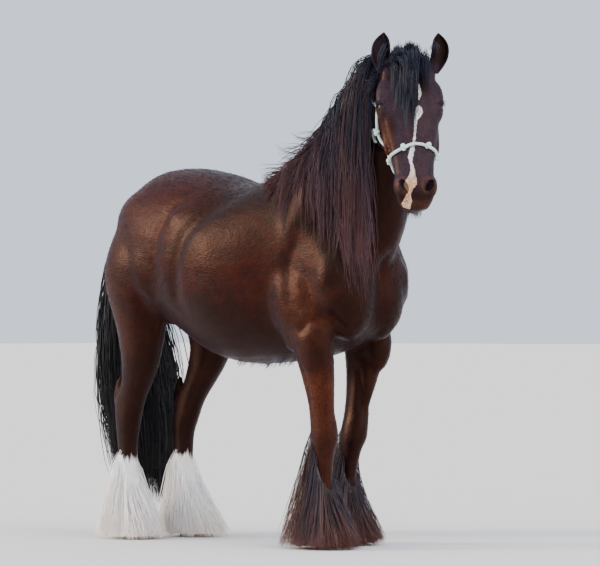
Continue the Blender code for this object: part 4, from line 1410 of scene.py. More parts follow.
class Surface:
    """The finished skin as a surface that hair is rooted on and laid over."""

    def __init__(self, skin: bpy.types.Object) -> None:
        """Read the skin's faces and its unwrap.

        Args:
            skin: The skin, with its unwrap.
        """
        mesh = skin.data
        mesh.calc_loop_triangles()
        corners = np.empty(len(mesh.loop_triangles) * 3, np.int32)
        mesh.loop_triangles.foreach_get("vertices", corners)
        loops = np.empty(len(mesh.loop_triangles) * 3, np.int32)
        mesh.loop_triangles.foreach_get("loops", loops)
        uv = np.empty(len(mesh.loops) * 2, np.float32)
        mesh.uv_layers["OFBake"].data.foreach_get("uv", uv)
        self.uv = uv.reshape(-1, 2)[loops.reshape(-1, 3)[:, 0]]
        self.tree = BVHTree.FromPolygons(numbers(mesh).tolist(), corners.reshape(-1, 3).tolist())

    def nearest(self, point: Vector) -> tuple[Vector, Vector, float]:
        """The nearest place on the skin, its outward direction and how far it is."""
        place, normal, _, distance = self.tree.find_nearest(point)
        return place, normal, distance

    def root(self, point: Vector) -> tuple[float, float, float]:
        """Where a root lies on the unwrap."""
        index = self.tree.find_nearest(point)[2]
        return (float(self.uv[index][0]), float(self.uv[index][1]), 0.0)

    def nearness(self, mesh: bpy.types.Mesh, guides: list["Guide"], reach: float) -> np.ndarray:
        """How near each place of the skin is to any wisp.

        Args:
            mesh: The skin's mesh.
            guides: The wisps' guides.
            reach: How far away a place no longer counts.

        Returns:
            1 beside a wisp, 0 at the reach and beyond.
        """
        points = [point for guide in guides for point in guide.points]
        tree = kdtree.KDTree(len(points))
        for index, point in enumerate(points):
            tree.insert(point, index)
        tree.balance()
        away = np.array([tree.find(place)[2] for place in numbers(mesh).tolist()])
        return step(away, reach, reach * 0.35)

    def lift(self, point: Vector, height: float) -> Vector:
        """The point, moved out until it is this high over the skin.

        Args:
            point: The point.
            height: The least height.

        Returns:
            The moved point.
        """
        place, normal, _ = self.nearest(point)
        return place + normal * height if (point - place).dot(normal) < height else point


@dataclass
class Guide:
    """The path that one wisp of hair follows, from its root in the skin to its tip."""

    points: list[Vector]
    uv: tuple[float, float, float]
    width: float = 1.0


@dataclass
class Drape:
    """How loose hair leaves the skin, bends over and falls along the body."""

    surface: Surface
    step: float = 0.014
    bend: float = 0.055
    sink: float = 0.010

    def path(self, root: Vector, heading: Vector, length: float, lift: float, pull: Vector) -> Guide:
        """Follow one wisp.

        Args:
            root: A place near its root.
            heading: The way it leaves the skin.
            length: Its length.
            lift: How high it lies over the skin.
            pull: Its weight and sweep.

        Returns:
            The guide.
        """
        place, normal, _ = self.surface.nearest(root)
        points = [place - normal * self.sink, place]
        point, heading, travelled = place, heading.normalized(), 0.0
        while travelled < length:
            heading = (heading + pull * (self.step / self.bend)).normalized()
            rise = lift * min(1.0, (travelled + self.step) / 0.05)
            moved = self.surface.lift(point + heading * self.step, rise)
            if (moved - point).length < self.step * 0.2:
                break
            heading = (moved - point).normalized()
            travelled += (moved - point).length
            point = moved
            points.append(point)
        return Guide(points, self.surface.root(place))


def bezier(points: tuple, share: float) -> Vector:
    """A place on the curve that four points steer.

    Args:
        points: The four points.
        share: 0 at the first, 1 at the last.

    Returns:
        The place.
    """
    a, b, c, d = points
    rest = 1 - share
    return a * rest ** 3 + b * (3 * rest * rest * share) + c * (3 * rest * share * share) + d * share ** 3


class StrandTree(Tree):
    """Many tapered strands along each guide."""

    TITLE = "strands"
    SIZES = {"Strands": 16, "Points": 9, "Root Spread": 0.006, "Middle Spread": 0.014, "Tip Spread": 0.010,
             "Scatter": 0.05, "Wave": 0.006, "Thickness": 0.0022, "Seed": 1, "Finish": "Material", "Under": "Object"}

    def chance(self, salt: int, low: object, high: object, kind: str = "FLOAT") -> Sum:
        """A random value for each strand.

        Args:
            salt: Keeps it apart from the others.
            low: Its least value.
            high: Its greatest value.
            kind: FLOAT or FLOAT_VECTOR.

        Returns:
            The value, the same along a strand.
        """
        drawn = self.add("FunctionNodeRandomValue", {"data_type": kind},
                         {"Min": low, "Max": high, "Seed": self.given("Seed") + salt})
        return self.add("GeometryNodeFieldOnDomain", {"domain": "CURVE", "data_type": kind}, {0: drawn})

    def grow(self) -> None:
        """Add every node from the guides to the finished strands."""
        curves = self.add("GeometryNodeMeshToCurve", None, {0: self.start})
        curves = self.add("GeometryNodeResampleCurve", None, {"Curve": curves, "Count": self.given("Points")})
        curves = self.add("GeometryNodeDuplicateElements", {"domain": "SPLINE"},
                          {"Geometry": curves, "Amount": self.given("Strands")})
        share = self.named("share")
        away = self.chance(3, (-1.0, -1.0, -1.0), (1.0, 1.0, 1.0), "FLOAT_VECTOR")
        middle = share * (1.0 - share) * 4.0
        spread = (self.given("Root Spread") * (1.0 - share) + self.given("Middle Spread") * middle
                  + self.given("Tip Spread") * share * share) * self.named("width")
        offset = self.scaled(away, spread)
        width = self.named("width")
        ends = self.add("ShaderNodeCombineXYZ", None,
                        {"Z": self.chance(5, -0.3, 1.0) * self.given("Scatter") * share * share * width * width})
        spot = self.add("GeometryNodeInputPosition")
        turned = self.vector("ADD", self.vector("MULTIPLY", spot, (9.0, 9.0, 6.0)),
                             self.chance(7, (0.0, 0.0, 0.0), (1.2, 1.2, 1.2), "FLOAT_VECTOR"))
        waves = self.add("ShaderNodeTexNoise", None, {"Vector": turned, "Scale": 1.0, "Detail": 1.5}, "Color")
        waves = self.vector("SUBTRACT", waves, (0.5, 0.5, 0.5))
        bent = self.scaled(waves, self.given("Wave") * share * width * 5.0)
        total = self.vector("ADD", self.vector("ADD", offset, ends), bent)
        curves = self.add("GeometryNodeSetPosition", None, {"Geometry": curves, "Offset": total})
        taper = (1.0 - share * share * share).top(0.12) * (share * 6.0 + 0.4).cap(1.0)
        thick = self.given("Thickness") * taper * self.chance(11, 0.6, 1.25)
        curves = self.add("GeometryNodeStoreNamedAttribute", {"data_type": "FLOAT", "domain": "POINT"},
                          {"Geometry": curves, "Name": "tone", "Value": self.chance(13, 0.0, 1.0)})
        profile = self.add("GeometryNodeCurvePrimitiveCircle", None, {"Resolution": 3, "Radius": 1.0})
        body = self.add("GeometryNodeCurveToMesh", None,
                        {"Curve": curves, "Profile Curve": profile, "Scale": thick, "Fill Caps": True})
        self.close(body, self.add("GeometryNodeObjectInfo", None, {"Object": self.given("Under")}, "Geometry"))

    def strands(self, name: str, guides: list[Guide], finish: bpy.types.Material,
                under: bpy.types.Object | None = None, **sizes: object) -> bpy.types.Object:
        """Grow the strands of one piece.

        Args:
            name: The piece's name.
            guides: Its guides.
            finish: Its material.
            under: A closed form of dense hair to join to it.
            sizes: Named inputs of the tree, with underscores for spaces.

        Returns:
            The piece in the animal's own frame.
        """
        places, edges, share, uv, width = [], [], [], [], []
        for guide in guides:
            first = len(places)
            count = len(guide.points)
            places += [tuple(point) for point in guide.points]
            edges += [(first + index, first + index + 1) for index in range(count - 1)]
            lengths = np.cumsum([0.0] + [(b - a).length for a, b in zip(guide.points, guide.points[1:])])
            share += (lengths / lengths[-1]).tolist()
            uv += [guide.uv] * count
            width += [guide.width] * count
        mesh = bpy.data.meshes.new(name)
        mesh.from_pydata(places, edges, [])
        keep(mesh, "share", np.array(share))
        keep(mesh, "width", np.array(width))
        keep(mesh, "root_uv", np.array(uv))
        piece = self.run(name, mesh, Finish=finish, Under=under, **sizes)
        if under:
            remove([under])
        lay_patches(piece.data, "root_uv")
        piece.data.polygons.foreach_set("use_smooth", [True] * len(piece.data.polygons))
        return piece


def shell(name: str, columns: list[list[Vector]], uv: list[tuple], finish: bpy.types.Material) -> bpy.types.Object:
    """The dense hair under the strands: a closed form whose sides follow paths of hair.

    Args:
        name: Its name.
        columns: Paths of equal length, in order round the form, each from root to tip.
        uv: The place of each path's root on the skin's unwrap.
        finish: Its material.

    Returns:
        The form, with the same marks as strands.
    """
    rows = [list(row) for row in zip(*columns)]
    form = tube(name, rows)
    mesh = form.data
    count, steps = len(columns), len(rows)
    extra = len(mesh.vertices) - count * steps
    keep(mesh, "share", np.append(np.repeat(np.arange(steps) / (steps - 1), count), np.ones(extra)))
    keep(mesh, "tone", np.append(np.tile(np.random.default_rng(5).random(count) * 0.6, steps), np.zeros(extra)))
    keep(mesh, "root_uv", np.array(list(uv) * steps + [uv[0]] * extra))
    mesh.materials.append(finish)
    return form


def lay_patches(mesh: bpy.types.Mesh, source: str) -> None:
    """Give hair its own map, each strand in a small patch at its root's place on the skin's unwrap.

    Args:
        mesh: The hair's mesh.
        source: The name that the root's place is kept under.
    """
    count = len(mesh.vertices)
    rows = np.empty(count * 3, np.float32)
    mesh.attributes[source].data.foreach_get("vector", rows)
    places = rows.reshape(-1, 3)[:, :2]
    angle = np.arange(count) * 2.4
    places = places + np.stack([np.cos(angle), np.sin(angle)], 1) * (PATCH / 2)
    corners = np.empty(len(mesh.loops), np.int32)
    mesh.loops.foreach_get("vertex_index", corners)
    layer = mesh.uv_layers.new(name="OFBake")
    layer.data.foreach_set("uv", places[corners].astype(np.float32).ravel())


@dataclass
class Mane:
    """The mane and forelock: long wavy wisps, nearly all of the mane on the right of the neck."""

    trunk: Trunk
    place: HeadPlace
    drape: Drape
    wisps: int = 230
    longest: float = 0.78
    shortest: float = 0.12
    left_share: float = 0.10
    fringe_wisps: int = 160
    cheek_wisps: int = 27

    def length(self, share: float) -> float:
        """How long the mane is at a share of the crest from poll to withers."""
        back = min(1.0, max(0.0, (share - 0.30) / 0.70))
        return self.longest - (self.longest - self.shortest) * back

    def mane_guides(self) -> list[Guide]:
        """Lay every wisp of the mane.

        Returns:
            The guides.
        """
        chance = random.Random(4)
        guides = []
        for index in range(self.wisps):
            share = ((index + chance.random()) / self.wisps) ** 1.12
            side = 1 if chance.random() < self.left_share else -1
            low = min(1.0, max(0.0, (share - 0.35) / 0.40))
            swept = 0.15 * max(0.0, share - 0.60) + chance.uniform(0.6, 1.1) * max(0.0, 0.26 - share)
            root = self.trunk.crest(share) + Vector((side * chance.uniform(-0.008, 0.020), 0, 0))
            upward = chance.uniform(0.0, 0.8) * (1.0 - low) + chance.uniform(-0.4, -0.1) * low
            heading = Vector((side * 0.9, chance.uniform(-0.25, 0.15) + swept, upward))
            length = self.length(share) * chance.uniform(0.42, 1.08) * (0.30 if side > 0 else 1.0)
            hug = -0.4 if side > 0 else 0.10
            pull = Vector((chance.uniform(-0.05, 0.03) + hug, chance.uniform(-0.09, 0.05) + swept, -1.0))
            rise = 0.002 + (0.018 - 0.013 * low) * chance.random() ** 1.5
            guide = self.drape.path(root, heading, length, rise, pull)
            guide.width = chance.uniform(0.7, 1.3) * min(1.0, length / 0.42)
            guides.append(guide)
        right, down, out = self.place.axes()
        for index in range(self.cheek_wisps):
            deep = chance.uniform(-0.16, -0.09) if index % 3 else chance.uniform(-0.10, -0.07)
            root = self.place.at(chance.uniform(0.088, 0.108), chance.uniform(0.02, 0.11), deep)
            heading = right * 0.7 - out * 0.5 + down * 0.5
            pull = -UP - out * 0.10 + right * chance.uniform(0.02, 0.10)
            reach = chance.uniform(0.22, 0.50) if index % 3 else chance.uniform(0.10, 0.17)
            guide = self.drape.path(root, heading, reach, chance.uniform(0.010, 0.018), pull)
            guide.width = chance.uniform(0.5, 0.9)
            guides.append(guide)
        return guides

    def fringe_guides(self) -> list[Guide]:
        """Lay every wisp of the forelock.

        Returns:
            The guides.
        """
        chance = random.Random(8)
        right, down, out = self.place.axes()
        guides = []
        for index in range(self.fringe_wisps):
            spread = chance.uniform(-1, 1)
            if index % 3 == 0:
                root = self.place.at(spread * 0.058, chance.uniform(-0.10, -0.02), 0.0)
                heading = UP * 1.0 + out * 0.35 + right * (spread * 0.5 + chance.uniform(-0.3, 0.3))
                length = chance.uniform(0.012, 0.028)
                guide = self.drape.path(root, heading, length, 0.003, out * 0.45 - UP * 0.40)
                guide.width = chance.uniform(0.4, 0.7)
                guides.append(guide)
                continue
            root = self.place.at(spread * 0.070, chance.uniform(-0.08, 0.085 - 0.05 * abs(spread)), 0.0)
            heading = UP * 0.35 + out * chance.uniform(0.4, 1.0) + down * chance.uniform(0.0, 0.6)
            length = (0.10 + 0.21 * chance.random() ** 1.5) * (1.0 - 0.35 * abs(spread))
            pull = -UP - right * (spread * 0.05 - 0.02) - out * 0.30 + right * chance.uniform(-0.09, 0.09)
            guide = self.drape.path(root, heading, length, 0.003 + 0.013 * chance.random() ** 1.5, pull)
            guide.width = chance.uniform(0.4, 0.9)
            if not self.hides_star(guide):
                guides.append(guide)
        return guides

    def hides_star(self, guide: Guide) -> bool:
        """Whether a wisp of the forelock would fall over the star on the forehead.

        Args:
            guide: The wisp.

        Returns:
            True where any of its points lies over the star.
        """
        across, along, _ = self.place.local(np.array([tuple(point) for point in guide.points]))
        over = (np.abs(across + 0.031) < 0.015) & (along > 0.17) & (along < 0.34)
        return bool(over.any())


@dataclass
class Tail:
    """The tail: a dense fall of hair from all round the dock, blown a little to the left."""

    surface: Surface
    wisps: int = 150
    tip: float = 0.125
    drift: float = 0.142
    back: float = 1.210
    half_width: float = 0.210
    half_depth: float = 0.078

    def guides(self) -> list[Guide]:
        """Lay every wisp.

        Returns:
            The guides.
        """
        chance = random.Random(12)
        guides = []
        for index in range(self.wisps):
            angle = 2 * math.pi * index * 0.618034
            fill = math.sqrt(chance.uniform(0.03, 1.0))
            level = chance.random() ** (0.7 + fill)
            low = 0.02 + 0.34 * chance.random() ** 2.2
            points, skin = self.path(angle, fill, level, low, chance)
            guides.append(Guide(points, self.surface.root(skin), chance.uniform(0.7, 1.25)))
        return guides

    def path(self, angle: float, fill: float, level: float, low: float,
             chance: random.Random) -> tuple[list[Vector], Vector]:
        """The path of one wisp.

        Args:
            angle: The direction round the tail, 0 ahead.
            fill: How far out it lies, 0 in the middle and 1 at the outside.
            level: How far down the dock its root is.
            low: How high its tip is over the lowest tip.
            chance: Where its chances come from.

        Returns:
            The points, the first inside the dock, and the place where it leaves the skin.
        """
        across, behind = math.sin(angle), -math.cos(angle)
        root = Vector((0.0, 1.145 + 0.025 * min(1.0, level * 2.5), 1.285 - 0.300 * level))
        skin, normal, _ = self.surface.nearest(root + Vector((across * 0.8, max(0.35, behind), 0.0)) * 0.05)
        bow = skin + normal * (0.03 + 0.04 * fill) + Vector((0, 0.02, -0.14 - 0.06 * chance.random()))
        middle = Vector((self.drift * 0.95 + self.half_width * 1.15 * fill * across,
                         self.back + self.half_depth * 1.1 * fill * behind, chance.uniform(0.55, 0.78)))
        tip = Vector((self.drift + self.half_width * 0.80 * fill * across + chance.uniform(-0.015, 0.015),
                      self.back + self.half_depth * 0.8 * fill * behind, self.tip + low))
        points = [skin - normal * 0.010]
        for share in range(15):
            points.append(self.surface.lift(bezier((skin, bow, middle, tip), share / 14), 0.004 * min(share, 2)))
        return points, skin

    def under(self, finish: bpy.types.Material) -> bpy.types.Object:
        """The dense hair under the tail's strands.

        Args:
            finish: Its material.

        Returns:
            A closed form.
        """
        chance = random.Random(5)
        columns, uv = [], []
        for index in range(40):
            points, skin = self.path(2 * math.pi * index / 40, 0.82, 0.75, 0.14, chance)
            columns.append(points)
            uv.append(self.surface.root(skin))
        return shell("dense", columns, uv, finish)


@dataclass
class FineHair:
    """Short fine hair that breaks the outline: under the belly, in the ears, on the chin, and the lashes."""

    head: Head
    drape: Drape

    def guides(self) -> list[Guide]:
        """Lay every wisp.

        Returns:
            The guides.
        """
        chance = random.Random(21)
        place = self.head.place
        right, down, out = place.axes()
        guides = []
        for _ in range(40):
            root = Vector((chance.uniform(-0.12, 0.09), chance.uniform(0.16, 0.50), 0.69))
            heading = Vector((chance.uniform(-0.2, 0.2), 0.9, -0.45))
            guides.append(self.wisp(chance, root, heading, (0.014, 0.036), Vector((0, 0.15, -0.55))))
        for sign in (-1, 1):
            for _ in range(8):
                height = chance.uniform(0.010, 0.105)
                root = place.at(sign * 0.092, 0.105, -0.010) + UP * height + right * chance.uniform(-0.020, 0.020)
                heading = place.facing() * 0.8 + UP * 0.5 - right * sign * 0.4
                guides.append(self.wisp(chance, root, heading, (0.005, 0.011), UP * 0.2 - right * sign * 0.2))
            along, upward, look = self.head.eye_axes(sign)
            for index in range(12):
                share = index / 11 * 2 - 1
                root = self.head.eye_centre(sign) + look * 0.024 + upward * (0.013 - 0.004 * share * share)
                guides.append(self.wisp(chance, root + along * 0.015 * share, look * 0.5 - UP * 0.5
                                        + along * 0.3 * share, (0.003, 0.006), -UP * 0.4))
        for _ in range(40):
            root = place.at(chance.uniform(-0.045, 0.045), chance.uniform(0.86, 1.0), -0.165)
            guides.append(self.wisp(chance, root, -out * 0.6 + down * 0.7, (0.012, 0.028), -UP * 0.3))
        return guides

    def wisp(self, chance: random.Random, root: Vector, heading: Vector, sizes: tuple[float, float],
             pull: Vector) -> Guide:
        """Lay one short wisp.

        Args:
            chance: Where its chances come from.
            root: A place near its root.
            heading: The way it leaves the skin.
            sizes: Its least and greatest length.
            pull: Its bend.

        Returns:
            The guide.
        """
        place, normal, _ = self.drape.surface.nearest(root)
        length = chance.uniform(*sizes)
        points = [place - normal * 0.004, place]
        point, heading = place, heading.normalized()
        for _ in range(5):
            heading = (heading + pull * 0.25).normalized()
            point = self.drape.surface.lift(point + heading * (length / 5), 0.0015)
            points.append(point)
        return Guide(points, self.drape.surface.root(place), 0.28)


@dataclass
class Feather:
    """The feather of one foot: long hair from below the knee or hock, spread over the hoof."""

    legs: Legs
    surface: Surface
    side: Side
    front: bool
    wisps: int = 130

    def reach(self, angle: float) -> float:
        """How far it stands out at the ground, most behind and outside, least on the inner side.

        Args:
            angle: The direction round the foot, 0 ahead.

        Returns:
            Metres from the middle of the foot.
        """
        ahead, outer = math.cos(angle), math.sin(angle) * self.side.value
        behind = 0.060 if self.front else 0.030
        return 0.132 + behind * max(0.0, -ahead) ** 2 + 0.006 * max(0.0, outer) - 0.026 * max(0.0, -outer)

    def guides(self) -> list[Guide]:
        """Lay every wisp.

        Returns:
            The guides.
        """
        chance = random.Random(30 + self.side.value + 5 * self.front)
        guides = []
        for index in range(self.wisps):
            angle = 2 * math.pi * index * 0.618034 + chance.uniform(-0.1, 0.1)
            level = (index + chance.random()) / self.wisps
            spread = (0.66 + 0.36 * min(1.0, level * 1.6) ** 0.5) * chance.uniform(0.86, 1.04)
            ground = 0.006 + 0.020 * chance.random() ** 2
            points = self.path(angle, level, spread, ground)
            guides.append(Guide(points, self.surface.root(points[1]), chance.uniform(0.7, 1.2)))
        return guides

    def path(self, angle: float, level: float, spread: float, ground: float) -> list[Vector]:
        """The path of one wisp.

        Args:
            angle: The direction round the foot, 0 ahead.
            level: How high its root is, 0 at the hoof and 1 at the top of the feather.
            spread: How far out its tip is, as a share of the reach.
            ground: How high its tip is over the ground.

        Returns:
            The points, the first inside the leg.
        """
        ahead, back = max(0.0, math.cos(angle)), max(0.0, -math.cos(angle))
        top = (0.335 if self.front else 0.350) * (1 - 0.30 * ahead + (0.42 if self.front else 0.0) * back)
        centre, half, front, rear = self.legs.section(self.side, self.front, 0.075 + (top - 0.075) * level)
        foot = self.legs.section(self.side, self.front, 0.08)[0]
        away = Vector((math.sin(angle), -math.cos(angle), 0))
        skin = 1 / math.sqrt((away.x / half) ** 2 + (away.y / (front if ahead else rear)) ** 2)
        tip = Vector((foot.x, foot.y, ground)) + away * self.reach(angle) * spread
        leave = centre + away * skin
        bow = leave.lerp(tip, 0.45) - away * 0.014
        steer = (leave, leave + Vector((0, 0, -0.30 * (leave.z - tip.z))) + away * 0.010, bow, tip)
        return [leave - away * 0.010] + [bezier(steer, share / 10) for share in range(11)]

    def under(self, finish: bpy.types.Material) -> bpy.types.Object:
        """The dense hair under the feather's strands.

        Args:
            finish: Its material.

        Returns:
            A closed form.
        """
        chance = random.Random(7)
        columns, uv = [], []
        for index in range(72):
            angle = 2 * math.pi * index / 72
            reach = 0.84 + chance.uniform(-0.03, 0.03)
            columns.append(self.path(angle, 0.93, reach, 0.012 + 0.010 * chance.random()))
            uv.append(self.surface.root(columns[-1][1]))
        return shell("dense", columns, uv, finish)


class CoatTree(Tree):
    """Short tufts over the skin along the lie of the coat."""

    TITLE = "coat_tufts"
    SIZES = {"Density": 9000.0, "Length": 0.018, "Thickness": 0.0006, "Rise": 0.10, "Seed": 3, "Finish": "Material"}

    def grow(self) -> None:
        """Add every node from the skin to the finished tufts."""
        thick = self.named("cover")
        scattered = self.tree.nodes.new("GeometryNodeDistributePointsOnFaces")
        self.tree.links.new(self.group.outputs[0], scattered.inputs[0])
        self.feed(scattered, "Density", thick * self.given("Density"))
        self.feed(scattered, "Seed", self.given("Seed"))
        normal = Sum(self, scattered.outputs["Normal"])
        lie = self.named("lie", "FLOAT_VECTOR")
        shake = self.add("FunctionNodeRandomValue", {"data_type": "FLOAT_VECTOR"},
                         {"Min": (-0.22, -0.22, -0.22), "Max": (0.22, 0.22, 0.22)})
        lifted = self.scaled(normal, self.given("Rise"))
        heading = self.vector("ADD", self.vector("ADD", lie, shake), lifted)
        turn = self.add("FunctionNodeAlignRotationToVector", {"axis": "Z"}, {"Vector": heading})
        size = self.add("FunctionNodeRandomValue", {"data_type": "FLOAT"}, {"Min": 0.55, "Max": 1.2})
        small = self.named("tuft")
        shape = self.tree.nodes.new("GeometryNodeMeshCone")
        for key, value in (("Vertices", 3), ("Side Segments", 1), ("Fill Segments", 1), ("Radius Top", 0.0)):
            self.feed(shape, key, value)
        self.feed(shape, "Radius Bottom", self.given("Thickness"))
        self.feed(shape, "Depth", self.given("Length"))
        placed = self.add("GeometryNodeInstanceOnPoints", None,
                          {"Points": Sum(self, scattered.outputs["Points"]), "Instance": Sum(self, shape.outputs[0]),
                           "Rotation": turn, "Scale": size * small})
        placed = self.add("GeometryNodeStoreNamedAttribute", {"data_type": "FLOAT_VECTOR", "domain": "INSTANCE"},
                          {"Geometry": placed, "Name": "skin_normal",
                           "Value": self.named("outward", "FLOAT_VECTOR")})
        self.close(placed)

    def tufts(self, name: str, skin: bpy.types.Object, finish: bpy.types.Material,
              **sizes: object) -> bpy.types.Object:
        """Lay the tufts of one piece.

        Args:
            name: The piece's name.
            skin: The marked skin.
            finish: Its material.
            sizes: Named inputs of the tree.

        Returns:
            The piece in the animal's own frame.
        """
        piece = self.run(name, skin.data.copy(), Finish=finish, **sizes)
        lay_patches(piece.data, "root_uv")
        rows = np.empty(len(piece.data.vertices) * 3, np.float32)
        piece.data.attributes["skin_normal"].data.foreach_get("vector", rows)
        piece.data.normals_split_custom_set_from_vertices(rows.reshape(-1, 3).tolist())
        return piece


@dataclass
class ShortCoat:
    """Where the short coat's tufts lie, how dense they are and which way they point."""

    place: HeadPlace

    def put(self, skin: bpy.types.Object) -> None:
        """Keep the lie of the coat on the skin.

        Args:
            skin: The skin in the animal's own frame.
        """
        mesh = skin.data
        co, normal = numbers(mesh), numbers(mesh, "normal")
        down = np.array(self.place.axes()[1])
        leg = step(co[:, 2], 0.85, 0.60)[:, None]
        head = (step(co[:, 1], -0.30, -0.42) * step(co[:, 2], 1.15, 1.25))[:, None]
        neck = (step(co[:, 1], 0.10, -0.10) * step(co[:, 2], 1.05, 1.25))[:, None] * (1 - head)
        flow = np.array([0.0, 0.85, -0.50]) * (1 - neck) + np.array([0.0, 0.45, -0.90]) * neck
        flow = flow * (1 - leg) + np.array([0.0, 0.10, -1.0]) * leg
        flow = flow * (1 - head) + down * head
        flow = flow - normal * (flow * normal).sum(1, keepdims=True)
        flow /= np.linalg.norm(flow, axis=1, keepdims=True) + 1e-6
        keep(mesh, "lie", flow)
        keep(mesh, "outward", normal)
        _, along, _ = self.place.local(co)
        smooth = step(along, 0.80, 0.95) * head[:, 0]
        bare = np.where(co[:, 2] < 0.05, 0.0, 1.0)
        keep(mesh, "cover", (1 - 0.95 * smooth) * bare * (1 - 0.2 * head[:, 0]))
        keep(mesh, "tuft", 1.0 - 0.5 * head[:, 0] - 0.25 * leg[:, 0])
        uv = np.zeros((len(co), 3))
        corners = np.empty(len(mesh.loops), np.int32)
        mesh.loops.foreach_get("vertex_index", corners)
        flat = np.empty(len(mesh.loops) * 2, np.float32)
        mesh.uv_layers["OFBake"].data.foreach_get("uv", flat)
        uv[corners, :2] = flat.reshape(-1, 2)
        keep(mesh, "root_uv", uv)


class RopeTree(Tree):
    """Three twisted strands along a path."""

    TITLE = "twisted_rope"
    SIZES = {"Radius": 0.0040, "Turns": 60.0, "Spacing": 0.0022, "Finish": "Material"}

    def grow(self) -> None:
        """Add every node from the path to the finished rope."""
        curves = self.add("GeometryNodeMeshToCurve", None, {0: self.start})
        curves = self.add("GeometryNodeResampleCurve", {"mode": "LENGTH"},
                          {"Curve": curves, "Length": self.given("Spacing")})
        twin = self.tree.nodes.new("GeometryNodeDuplicateElements")
        twin.domain = "SPLINE"
        self.tree.links.new(curves.socket, twin.inputs["Geometry"])
        self.feed(twin, "Amount", 3)
        length = self.add("GeometryNodeSplineParameter", None, None, "Length")
        which = Sum(self, twin.outputs["Duplicate Index"])
        angle = length * self.given("Turns") * 2 * math.pi + which * (2 * math.pi / 3)
        normal = self.add("GeometryNodeInputNormal")
        tangent = self.add("GeometryNodeInputTangent")
        other = self.vector("CROSS_PRODUCT", normal, tangent)
        cosine = (angle + math.pi / 2).wave() * self.given("Radius") * 0.52
        sine = angle.wave() * self.given("Radius") * 0.52
        first, second = self.scaled(normal, cosine), self.scaled(other, sine)
        curves = self.add("GeometryNodeSetPosition", None,
                          {"Geometry": Sum(self, twin.outputs["Geometry"]),
                           "Offset": self.vector("ADD", first, second)})
        profile = self.add("GeometryNodeCurvePrimitiveCircle", None,
                           {"Resolution": 7, "Radius": self.given("Radius") * 0.56})
        body = self.add("GeometryNodeCurveToMesh", None,
                        {"Curve": curves, "Profile Curve": profile, "Fill Caps": True})
        self.close(body)

    def lay(self, name: str, paths: list[list[Vector]], finish: bpy.types.Material,
            **sizes: object) -> bpy.types.Object:
        """Twist a rope along each path.

        Args:
            name: The piece's name.
            paths: Paths, each closed where its ends are the same place.
            finish: Its material.
            sizes: Named inputs of the tree.

        Returns:
            The piece in the animal's own frame.
        """
        places, edges = [], []
        for path in paths:
            closed = (path[0] - path[-1]).length < 1e-6
            path = path[:-1] if closed else path
            first = len(places)
            places += [tuple(point) for point in path]
            edges += [(first + index, first + index + 1) for index in range(len(path) - 1)]
            edges += [(first + len(path) - 1, first)] if closed else []
        mesh = bpy.data.meshes.new(name)
        mesh.from_pydata(places, edges, [])
        piece = self.run(name, mesh, Finish=finish, **sizes)
        piece.data.polygons.foreach_set("use_smooth", [True] * len(piece.data.polygons))
        return piece


